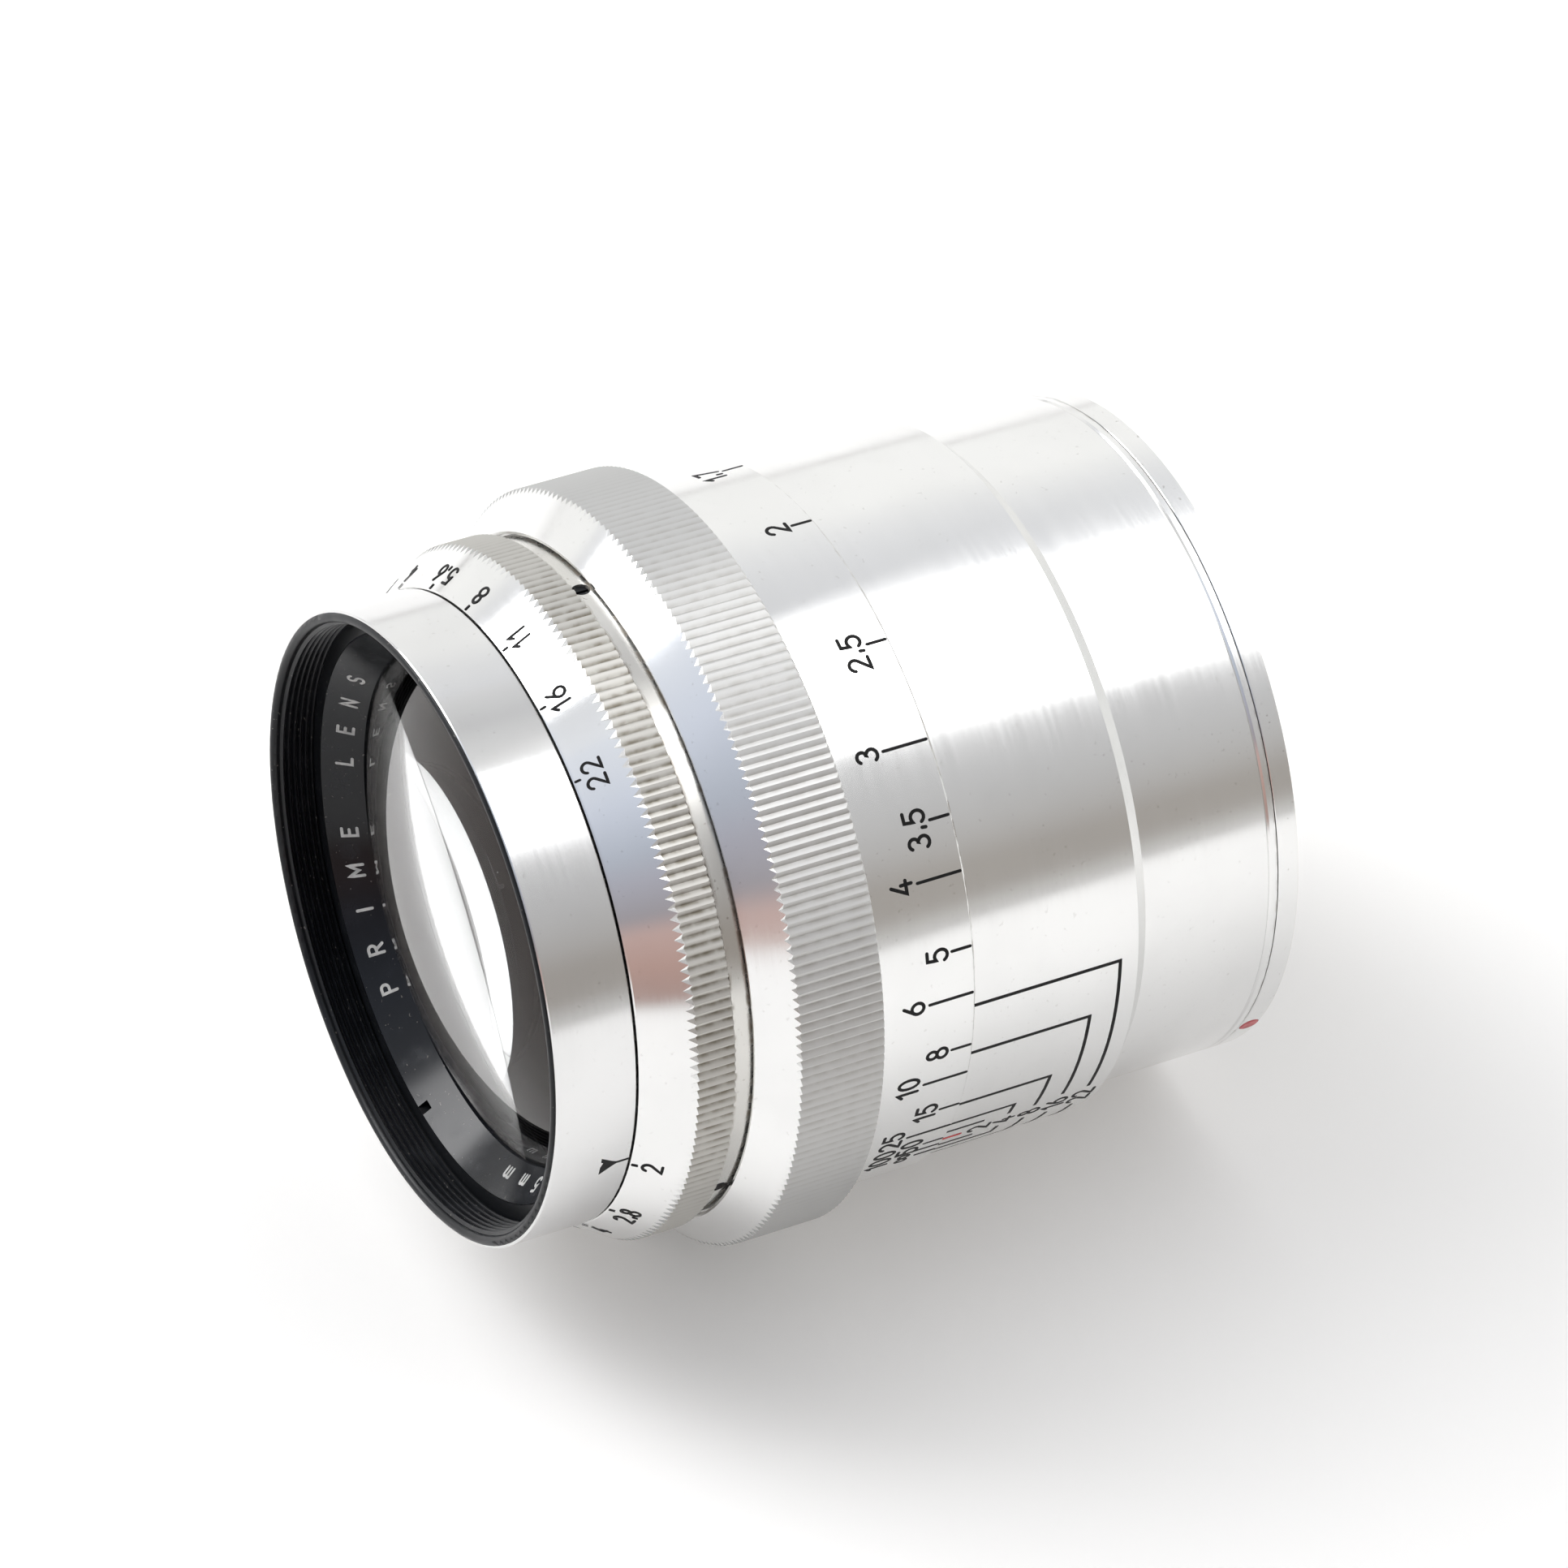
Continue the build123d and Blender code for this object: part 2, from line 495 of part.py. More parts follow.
# Black cell that carries the front element and the cemented triplet. From front to back it has
# a seat for the front glass, a wide bore for the triplet's first two elements and a narrow one
# for its last.
CELL_R = HEAD_BORE_R - FIT_GAP
CELL_TUBE_R = 20.35           # behind its wider front part the cell clears the iris drive ring
CELL_TUBE_FRONT = -52.40
CELL_BACK = -36.10
CELL_LIP_R = 13.40
CELL_LIP_FRONT = CELL_BACK - 0.25
FRONT_GLASS_SEAT = -53.92
TRIPLET_SEAT = -43.30
with BuildPart() as front_cell:
    turned((FRONT_GLASS_R + GLASS_GAP, HEAD_SEAT_BACK), (CELL_R, HEAD_SEAT_BACK), (CELL_R, CELL_TUBE_FRONT),
           (CELL_TUBE_R, CELL_TUBE_FRONT), (CELL_TUBE_R, CELL_BACK), (CELL_LIP_R, CELL_BACK),
           (CELL_LIP_R, CELL_LIP_FRONT), (TRIPLET_REAR_R + GLASS_GAP, CELL_LIP_FRONT),
           (TRIPLET_REAR_R + GLASS_GAP, TRIPLET_SEAT), (TRIPLET_R + GLASS_GAP, TRIPLET_SEAT),
           (TRIPLET_R + GLASS_GAP, FRONT_GLASS_SEAT), (FRONT_GLASS_R + GLASS_GAP, FRONT_GLASS_SEAT))
keep(front_cell, "front_cell")

with BuildPart() as front_element:
    glass(FRONT_GLASS_Y, thickness=6.20, front_curve=46.0, back_curve=110.0, edge=FRONT_GLASS_R)
keep(front_element, "front_element")

with BuildPart() as triplet_front_element:
    glass(TRIPLET_Y, thickness=7.00, front_curve=31.0, back_curve=75.0, edge=TRIPLET_R)
keep(triplet_front_element, "triplet_front_element")

with BuildPart() as triplet_middle_element:
    glass(TRIPLET_Y + 7.00 + CEMENT, thickness=5.50, front_curve=75.0, back_curve=-300.0, edge=TRIPLET_R)
keep(triplet_middle_element, "triplet_middle_element")

with BuildPart() as triplet_rear_element:
    glass(TRIPLET_Y + 12.50 + 2 * CEMENT, thickness=2.00, front_curve=-300.0, back_curve=21.0,
          edge=TRIPLET_REAR_R, clear=13.00)
keep(triplet_rear_element, "triplet_rear_element")

# Threaded ring in front of the triplet, with two slots for a spanner
RETAINER_FRONT = -53.20
with BuildPart() as triplet_retaining_ring:
    ring(TRIPLET_R - 1.00, TRIPLET_R + 0.03, RETAINER_FRONT, -50.10)
    with BuildSketch(across(RETAINER_FRONT + 0.6)) as retainer_slots:
        Rectangle(60, 1.0)
    extrude(retainer_slots.sketch, amount=1.0, mode=Mode.SUBTRACT)
keep(triplet_retaining_ring, "triplet_retaining_ring")

# Black cell that carries the rear cemented group, screwed into the back of the head barrel by
# its flange. Its tail tapers to the back and holds the retaining ring.
FLANGE_R = HEAD_TAIL_BORE_R - FIT_GAP
FLANGE_FRONT = -32.50
FLANGE_BACK = -30.00
REAR_SEAT_FRONT = -31.00
REAR_STOP_R = 11.80           # opening in front of the rear glass
REAR_CELL_BACK = -14.50
REAR_THREAD_R = 13.70
REAR_THREAD_FRONT = -17.60
with BuildPart() as rear_cell:
    turned((REAR_STOP_R, REAR_SEAT_FRONT), (14.30, REAR_SEAT_FRONT), (14.30, FLANGE_FRONT),
           (FLANGE_R, FLANGE_FRONT), (FLANGE_R, FLANGE_BACK), (15.20, FLANGE_BACK),
           (14.60, REAR_CELL_BACK), (REAR_THREAD_R, REAR_CELL_BACK), (REAR_THREAD_R, REAR_THREAD_FRONT),
           (REAR_GLASS_R + GLASS_GAP, REAR_THREAD_FRONT), (REAR_GLASS_R + GLASS_GAP, REAR_SEAT_FRONT + 0.55),
           (REAR_STOP_R, REAR_SEAT_FRONT + 0.55))
keep(rear_cell, "rear_cell")

with BuildPart() as rear_front_element:
    glass(REAR_GROUP_Y, thickness=2.00, front_curve=-200.0, back_curve=24.0, edge=REAR_GLASS_R)
keep(rear_front_element, "rear_front_element")

with BuildPart() as rear_middle_element:
    glass(REAR_GROUP_Y + 2.00 + CEMENT, thickness=9.50, front_curve=24.0, back_curve=-26.0, edge=REAR_GLASS_R)
keep(rear_middle_element, "rear_middle_element")

with BuildPart() as rear_rear_element:
    glass(REAR_GROUP_Y + 11.50 + 2 * CEMENT, thickness=2.00, front_curve=-26.0, back_curve=-60.0,
          edge=REAR_GLASS_R)
keep(rear_rear_element, "rear_rear_element")

# Threaded ring behind the rear group, flared towards the camera
REAR_RETAINER_R = REAR_THREAD_R - 0.05
with BuildPart() as rear_retaining_ring:
    turned((11.30, -17.40), (REAR_RETAINER_R, -17.40), (REAR_RETAINER_R, -15.40), (12.60, -15.40),
           (11.30, -16.60))
keep(rear_retaining_ring, "rear_retaining_ring")

# Black washer that closes the gap between the rear cell and the helicoid tube
BAFFLE_R = HEAD_BODY_R - FIT_GAP
BAFFLE_RIM_R = HEAD_BODY_R - 0.60
with BuildPart() as rear_baffle:
    turned((16.00, -15.20), (BAFFLE_R, -15.20), (BAFFLE_R, -13.60), (BAFFLE_RIM_R, -13.60),
           (BAFFLE_RIM_R, -14.60), (15.00, -14.60))
keep(rear_baffle, "rear_baffle")


# ---------------------------------------------------------------- aperture ring and iris

# Ring with the aperture numbers on its cone, knurled behind
LINK_HEAD_R = 1.40
LINK_HEAD_HEIGHT = 1.00
LINK_HEAD_TOP = APERTURE_R - KNURL_DEPTH - 0.30
with BuildPart() as aperture_ring:
    with BuildSketch(across(APERTURE_BACK)) as aperture_star:
        with BuildLine():
            Polyline(*knurl_outline(APERTURE_TEETH, APERTURE_R), close=True)
        make_face()
    extrude(aperture_star.sketch, amount=APERTURE_BACK - APERTURE_FRONT)
    with BuildSketch(Plane.XY) as aperture_envelope:
        with BuildLine():
            Polyline((HEAD_R + RUN_GAP, APERTURE_FRONT), (NUMBER_CONE_R - 0.10, APERTURE_FRONT),
                     (NUMBER_CONE_R, APERTURE_FRONT + 0.10), (APERTURE_R, APERTURE_KNURL_FRONT),
                     (APERTURE_R, APERTURE_BACK - 0.15), (APERTURE_R - 0.15, APERTURE_BACK),
                     (HEAD_R + RUN_GAP, APERTURE_BACK), close=True)
        make_face()
    revolve(aperture_envelope.sketch, axis=Axis.Y, mode=Mode.INTERSECT)
    with BuildSketch(outward(LINK_SCREW_ANGLE, LINK_SCREW_Y, HEAD_R)) as link_hole:
        Circle(LINK_SCREW_R + FIT_GAP)
    extrude(link_hole.sketch, amount=6.0, mode=Mode.SUBTRACT)
    with BuildSketch(outward(LINK_SCREW_ANGLE, LINK_SCREW_Y, LINK_HEAD_TOP - LINK_HEAD_HEIGHT)) as link_seat:
        Circle(LINK_HEAD_R + FIT_GAP)
    extrude(link_seat.sketch, amount=4.0, mode=Mode.SUBTRACT)
keep(aperture_ring, "aperture_ring")

# Screw that ties the aperture ring to the iris drive ring through a slot in the head
with BuildPart() as aperture_link_screw:
    slotted_screw(outward(LINK_SCREW_ANGLE, LINK_SCREW_Y, LINK_HEAD_TOP),
                  length=LINK_HEAD_TOP - DRIVE_BORE_R - 0.10, shank=LINK_SCREW_R, head=LINK_HEAD_R,
                  head_height=LINK_HEAD_HEIGHT - FIT_GAP, slot_width=0.40)
keep(aperture_link_screw, "aperture_link_screw")

# Sleeve between the front cell and the head barrel, with a slotted flange over the blades
with BuildPart() as iris_drive_ring:
    turned((DRIVE_BORE_R, DRIVE_FRONT), (DRIVE_R, DRIVE_FRONT), (DRIVE_R, DRIVE_FLANGE_BACK),
           (IRIS_OPENING_R, DRIVE_FLANGE_BACK), (IRIS_OPENING_R, DRIVE_FLANGE_FRONT),
           (DRIVE_BORE_R, DRIVE_FLANGE_FRONT))
    with BuildSketch(across(DRIVE_FLANGE_BACK)) as drive_slots:
        with PolarLocations(DRIVE_SLOT_PCR, BLADE_COUNT):
            SlotOverall(3.6, 0.8)
    extrude(drive_slots.sketch, amount=1.0, mode=Mode.SUBTRACT)
    with BuildSketch(outward(LINK_SCREW_ANGLE, LINK_SCREW_Y, DRIVE_BORE_R - 0.5)) as thread_hole:
        Circle(LINK_SCREW_R + FIT_GAP)
    extrude(thread_hole.sketch, amount=2.0, mode=Mode.SUBTRACT)
keep(iris_drive_ring, "iris_drive_ring")

# Plate with one pivot hole for each blade
with BuildPart() as iris_base_plate:
    ring(IRIS_OPENING_R, HEAD_BORE_R - FIT_GAP, BASE_PLATE_FRONT, HEAD_SHOULDER - 0.02)
    with BuildSketch(across(HEAD_SHOULDER)) as pivot_holes:
        with PolarLocations(PIVOT_CIRCLE_R, BLADE_COUNT, start_angle=90):
            Circle(PIVOT_HOLE_R)
    extrude(pivot_holes.sketch, amount=1.5, mode=Mode.SUBTRACT)
keep(iris_base_plate, "iris_base_plate")

# Ten crescent blades, each in its own layer, each with a pivot pin in the base plate
for number in range(BLADE_COUNT):
    pivot_angle = number * 360 / BLADE_COUNT
    layer_back = BLADE_FRONT + number * BLADE_PITCH + BLADE_THICKNESS
    with BuildPart() as iris_blade:
        with BuildSketch(across(layer_back)) as crescent:
            sector(BLADE_OPEN_R, BLADE_OUTER_R, pivot_angle + 3, pivot_angle - BLADE_SPAN)
            with Locations(on_circle(PIVOT_CIRCLE_R, pivot_angle)):
                Circle(PIVOT_EYE_R)
        extrude(crescent.sketch, amount=BLADE_THICKNESS)
        with BuildSketch(across(HEAD_SHOULDER - 0.1)) as pivot:
            with Locations(on_circle(PIVOT_CIRCLE_R, pivot_angle)):
                Circle(PIVOT_R)
        extrude(pivot.sketch, amount=HEAD_SHOULDER - 0.1 - layer_back)
    keep(iris_blade, f"iris_blade_{number + 1:02d}")
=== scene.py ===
"""Studio look of a chrome portrait lens lying on its side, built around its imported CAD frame.

Frame: millimetre values below are turned into metres by MM. The optical axis is Y, the camera end of the
lens is +Y and its front is -Y. Angles are in degrees about Y, from +Z towards +X.
"""

import json
import math

import bmesh
import bpy
from mathutils import Matrix, Vector


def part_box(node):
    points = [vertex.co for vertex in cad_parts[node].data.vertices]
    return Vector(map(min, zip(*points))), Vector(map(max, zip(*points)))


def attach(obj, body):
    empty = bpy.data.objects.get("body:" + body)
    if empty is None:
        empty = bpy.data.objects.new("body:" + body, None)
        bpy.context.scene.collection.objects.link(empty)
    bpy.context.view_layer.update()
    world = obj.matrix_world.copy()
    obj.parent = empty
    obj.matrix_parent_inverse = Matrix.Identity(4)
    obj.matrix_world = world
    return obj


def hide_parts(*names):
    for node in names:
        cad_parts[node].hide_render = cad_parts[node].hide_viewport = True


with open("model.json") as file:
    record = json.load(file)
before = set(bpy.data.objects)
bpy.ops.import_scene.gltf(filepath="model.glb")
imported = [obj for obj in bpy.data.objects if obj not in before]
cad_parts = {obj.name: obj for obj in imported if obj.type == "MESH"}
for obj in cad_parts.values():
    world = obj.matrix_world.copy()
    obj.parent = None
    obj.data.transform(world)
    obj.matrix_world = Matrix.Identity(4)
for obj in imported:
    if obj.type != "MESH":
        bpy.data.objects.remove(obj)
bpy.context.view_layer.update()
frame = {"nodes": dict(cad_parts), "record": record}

MM = 0.001
NODES = frame["nodes"]

# Radii and stretches of the CAD surfaces that the looks and engravings lie on
DEPTH_NECK = 10.48             # the barrel's neck reaches this far in front of its visible edge
APERTURE_CONE = 3.85
APERTURE_CONE_R = (25.6, 28.0)
FOCUS_CONE = 2.60
COLLAR_BACK = -47.95           # where the collar goes in under the focusing ring
KNURL_DEPTH = 0.40
REAR_PARTING = -1.9            # the fine line round the rear end
NAME_CONE_Y = (-60.25, -57.50)
NAME_CONE_R = (22.90, 20.75)
FILTER_BORE_R = 24.5

# Engraving: widths of the strokes in mm, and places of the scales in degrees
ENGRAVING_LIFT = 0.012 * MM    # paint stands this far above the metal
ENGRAVING_SINK = 0.030 * MM    # and reaches this far into it
TEXT_STROKE = 0.28
TICK_STROKE = 0.25
DEPTH_STROKE = 0.29
TICK_GAP = 0.26                # a distance mark stops this far short of the sleeve's edge
LONGEST_STEP = 0.35            # strokes are cut up to this length, so that they bend round a cylinder
COMMA_SHIFT = 0.26             # figures with a comma stand off centre, to keep it clear of their mark
INDEX_ANGLE = 116.7            # red focus index, in line with the mounting dot
INFINITY_ANGLE = 117.0
DEPTH_PER_STOP = 1.62          # a depth line stands this far from the index for every whole of its number
APERTURE_START = 26.5          # place of the 22 on the first of the two aperture scales
APERTURE_PITCH = 14.6
OPEN_PITCH = 17.8              # the step from 2.8 to 2 is the widest
RIM_INDEX_ANGLES = (99.1, -80.9)


# ------------------------------------------------------------------ where things are, from the frame

def back(node):
    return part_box(node)[1].y / MM


def front(node):
    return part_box(node)[0].y / MM


def reach(node):
    """Largest radius of a turned piece about the optical axis."""
    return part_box(node)[1].x / MM


# ------------------------------------------------------------------ node graphs

class Graph:
    """A short way to write shader nodes. Any input may be a number, a colour or another node's output."""

    def __init__(self, tree):
        self.tree = tree
        tree.nodes.clear()

    def node(self, kind, inputs=None, **settings):
        made = self.tree.nodes.new(kind)
        for name, value in settings.items():
            setattr(made, name, value)
        for key, value in (inputs or {}).items():
            self.feed(made.inputs[key], value)
        return made

    def feed(self, socket, value):
        if isinstance(value, bpy.types.NodeSocket):
            self.tree.links.new(value, socket)
        else:
            socket.default_value = value

    def math(self, operation, a, b=0.0, c=0.0):
        return self.node("ShaderNodeMath", {0: a, 1: b, 2: c}, operation=operation).outputs[0]

    def smooth(self, value, low, high, start=0.0, end=1.0):
        """Goes from start to end as value goes from low to high."""
        inputs = {"Value": value, "From Min": low, "From Max": high, "To Min": start, "To Max": end}
        made = self.node("ShaderNodeMapRange", inputs, interpolation_type="SMOOTHSTEP")
        return made.outputs[0]

    def smooth_line(self, value, low, high):
        """Goes evenly from 0 to 1 as value goes from low to high."""
        inputs = {"Value": value, "From Min": low, "From Max": high}
        return self.node("ShaderNodeMapRange", inputs).outputs[0]

    def ramp(self, value, stops):
        """A run of colours, given as (place from 0 to 1, colour)."""
        made = self.node("ShaderNodeValToRGB", {0: value})
        band = made.color_ramp.elements
        band[0].position, band[0].color = stops[0]
        band[1].position, band[1].color = stops[-1]
        for place, colour in stops[1:-1]:
            band.new(place).color = colour
        return made.outputs[0]

    def mix(self, factor, a, b):
        made = self.node("ShaderNodeMix", {0: factor, 6: a, 7: b}, data_type="RGBA")
        return made.outputs[2]

    def noise(self, vector, scale, detail=2.0, roughness=0.5):
        inputs = {"Vector": vector, "Scale": scale, "Detail": detail, "Roughness": roughness}
        return self.node("ShaderNodeTexNoise", inputs).outputs[0]

    def combine(self, x, y, z):
        return self.node("ShaderNodeCombineXYZ", {0: x, 1: y, 2: z}).outputs[0]

    def split(self, vector):
        return self.node("ShaderNodeSeparateXYZ", {0: vector}).outputs

    def bump(self, height, strength, distance, normal=None):
        inputs = {"Height": height, "Strength": strength, "Distance": distance}
        if normal is not None:
            inputs["Normal"] = normal
        return self.node("ShaderNodeBump", inputs).outputs[0]


class Turned(Graph):
    """A material graph that knows its place on a turned part: radius, station along the axis, angle."""

    def __init__(self, name):
        self.material = bpy.data.materials.new(name)
        self.material.use_nodes = True
        super().__init__(self.material.node_tree)
        place = self.node("ShaderNodeTexCoord").outputs["Object"]
        self.place = self.node("ShaderNodeVectorMath", {0: place, 3: 1 / MM}, operation="SCALE").outputs[0]
        self.x, self.y, self.z = self.split(self.place)
        square = self.math("MULTIPLY_ADD", self.x, self.x, self.math("MULTIPLY", self.z, self.z))
        self.radius = self.math("SQRT", square)
        self.angle = self.math("ARCTAN2", self.x, self.z)

    def turning(self, lines_per_mm, drift=0.6):
        """Fine lines left by the lathe tool, on faces, cones and cylinders alike."""
        across = self.math("MULTIPLY", self.y, lines_per_mm)
        outward = self.math("MULTIPLY", self.radius, lines_per_mm)
        round_it = self.math("MULTIPLY", self.angle, drift)
        return self.noise(self.combine(across, outward, round_it), 1.0, 3.0, 0.6)

    def grain(self, scale, detail=3.0):
        return self.noise(self.place, scale, detail)

    def near_station(self, station, width):
        """1 at a station along the axis, fading to 0 over width on both sides."""
        off = self.math("ABSOLUTE", self.math("SUBTRACT", self.y, station))
        return self.smooth(off, 0.0, width, 1.0, 0.0)

    def between_stations(self, start, end):
        """1 on a stretch along the axis, 0 outside it."""
        after = self.smooth(self.y, start - 0.04, start + 0.04)
        before = self.smooth(self.y, end - 0.04, end + 0.04, 1.0, 0.0)
        return self.math("MULTIPLY", after, before)

    def true_normal(self, flank=1.0):
        """The exact normal of a turned surface, whatever the facets. Flanks of teeth and holes, which
        face along the turn, keep the normal of the mesh, or the given part of it for worn teeth."""
        geometry = self.node("ShaderNodeNewGeometry").outputs
        px, _, pz = self.split(geometry["Position"])
        nx, ny, nz = self.split(geometry["Normal"])
        radius = self.math("SQRT", self.math("MULTIPLY_ADD", px, px, self.math("MULTIPLY", pz, pz)))
        ux = self.math("DIVIDE", px, radius)
        uz = self.math("DIVIDE", pz, radius)
        outward = self.math("MULTIPLY_ADD", nx, ux, self.math("MULTIPLY", nz, uz))
        sideways = self.math("SUBTRACT", self.math("MULTIPLY", nx, uz), self.math("MULTIPLY", nz, ux))
        level = self.math("SUBTRACT", 1.0, self.math("MULTIPLY", ny, ny))
        level = self.math("SQRT", self.math("MAXIMUM", level, 0.0))
        level = self.math("MULTIPLY", level, self.math("SIGN", outward))
        exact = self.combine(self.math("MULTIPLY", ux, level), ny, self.math("MULTIPLY", uz, level))
        own = self.smooth(self.math("ABSOLUTE", sideways), 0.06, 0.10, 0.0, flank)
        mixed = self.node("ShaderNodeMix", {0: own, 4: exact, 5: geometry["Normal"]}, data_type="VECTOR")
        return self.node("ShaderNodeVectorMath", {0: mixed.outputs[1]}, operation="NORMALIZE").outputs[0]

    def finish(self, surface):
        self.node("ShaderNodeOutputMaterial", {"Surface": surface})
        return self.material

    def principled(self, **inputs):
        named = {key.replace("_", " "): value for key, value in inputs.items()}
        return self.node("ShaderNodeBsdfPrincipled", named).outputs[0]


# ------------------------------------------------------------------ materials

GRIME = (0.16, 0.12, 0.075, 1)
DUST = (0.30, 0.28, 0.25, 1)
COATING = (0.50, 0.42, 0.38, 1)     # reflections off the coated glass are dimmer than off bare glass
KNURL_ROUGHNESS = 0.52
KNURL_FLANK = 0.30                  # worn teeth: their flanks keep this much of their slope


def darker(colour, share):
    return tuple(share * c for c in colour[:3]) + (1,)


def turned_metal(name, colour, roughness, lines=0.25, anisotropy=0.88, seams=(), knurl=None, dirt=0.25):
    """Satin metal turned on a lathe. seams are stations where grime gathers, as (station, width, amount).
    knurl is a toothed stretch, which is matter than the rest, as (crest radius, first station,
    last station, colour of the teeth, colour of the grime between them)."""
    g = Turned(name)
    fine = g.turning(11.0)
    coarse = g.turning(2.2, 0.25)
    cloud = g.grain(0.12)
    speckle = g.smooth(g.grain(2.6, 1.0), 0.70, 0.78)
    rough = g.math("MULTIPLY_ADD", g.math("SUBTRACT", coarse, 0.5), 0.10, roughness)
    rough = g.math("MULTIPLY_ADD", g.math("SUBTRACT", cloud, 0.5), 0.10, rough)
    tone = g.mix(g.smooth(cloud, 0.35, 0.7), colour, darker(colour, 0.965))
    tone = g.mix(g.math("MULTIPLY", speckle, 0.5 * dirt), tone, GRIME)
    for station, width, amount in seams:
        patchy = g.smooth(g.grain(0.9, 4.0), 0.40, 0.62)
        shade = g.math("MULTIPLY", g.near_station(station, width), g.math("MULTIPLY", patchy, amount))
        tone = g.mix(shade, tone, GRIME)
        rough = g.math("MULTIPLY_ADD", shade, 0.3, rough)
    height = g.math("MULTIPLY_ADD", coarse, 0.5, fine)
    if knurl:
        crest, start, end, tooth, groove = knurl
        toothed = g.between_stations(start, end)
        depth = g.smooth(g.radius, crest - KNURL_DEPTH, crest - 0.2 * KNURL_DEPTH, 1.0, 0.0)
        patchy = g.smooth(g.grain(0.8, 4.0), 0.30, 0.70, 0.35, 1.0)
        matt = g.mix(g.math("MULTIPLY", depth, patchy), tooth, groove)
        tone = g.mix(toothed, tone, matt)
        rough = g.math("MULTIPLY_ADD", toothed, g.math("SUBTRACT", KNURL_ROUGHNESS, rough), rough)
        anisotropy = g.math("MULTIPLY_ADD", toothed, 0.1 - anisotropy, anisotropy)
        height = g.math("MULTIPLY", height, g.math("SUBTRACT", 1.0, toothed))
    normal = g.bump(height, lines, 0.004 * MM, g.true_normal(KNURL_FLANK if knurl else 1.0))
    tangent = g.node("ShaderNodeTangent", direction_type="RADIAL", axis="Y").outputs[0]
    surface = g.principled(Base_Color=tone, Metallic=1.0, Roughness=rough, Normal=normal, Tangent=tangent,
                           Anisotropic=anisotropy, Anisotropic_Rotation=0.25)
    return g.finish(surface)


def black_finish(name, tint=(0.0042, 0.0048, 0.0060, 1), roughness=0.34, gloss=0.24):
    """Black anodised or enamelled metal with faint turning lines and specks of dust."""
    g = Turned(name)
    lines = g.turning(7.0)
    worn = g.smooth(g.grain(0.5), 0.45, 0.8)
    specks = g.smooth(g.grain(3.5, 1.0), 0.735, 0.76)
    tone = g.mix(worn, tint, darker(tint, 1.7))
    tone = g.mix(g.math("MULTIPLY", specks, 0.35), tone, DUST)
    rough = g.math("MULTIPLY_ADD", worn, 0.12, roughness)
    normal = g.bump(lines, 0.35, 0.006 * MM, g.true_normal())
    return g.finish(g.principled(Base_Color=tone, Roughness=rough, Normal=normal, Specular_IOR_Level=gloss))


def paint(name, colour, roughness=0.45):
    """Paint rubbed into an engraving or enamel in a dimple, a little uneven."""
    g = Turned(name)
    uneven = g.grain(1.6)
    tone = g.mix(g.smooth(uneven, 0.3, 0.75), colour, darker(colour, 0.7))
    rough = g.math("MULTIPLY_ADD", uneven, 0.2, roughness)
    normal = g.bump(g.grain(5.0), 0.3, 0.01 * MM)
    return g.finish(g.principled(Base_Color=tone, Roughness=rough, Normal=normal, Specular_IOR_Level=0.15))


def optical_glass(name, tint, ior):
    """Polished glass with a faint single-layer coating and a trace of dust."""
    g = Turned(name)
    dust = g.smooth(g.grain(2.2, 1.0), 0.77, 0.79)
    tone = g.mix(g.math("MULTIPLY", dust, 0.3), tint, (0.9, 0.9, 0.88, 1))
    rough = g.math("MULTIPLY", dust, 0.2)
    return g.finish(g.principled(Base_Color=tone, Roughness=rough, IOR=ior, Transmission_Weight=1.0,
                                 Specular_Tint=COATING))


# ------------------------------------------------------------------ engraving

def arc(cx, cy, rx, ry, start, end):
    """Points of an elliptical arc, angles in degrees, anticlockwise when end is above start."""
    steps = max(4, round(abs(end - start) / 20))
    angles = [math.radians(start + (end - start) * i / steps) for i in range(steps + 1)]
    return [(cx + rx * math.cos(a), cy + ry * math.sin(a)) for a in angles]


LETTER_GAP = 0.22              # the part of each advance that is the gap to the next letter

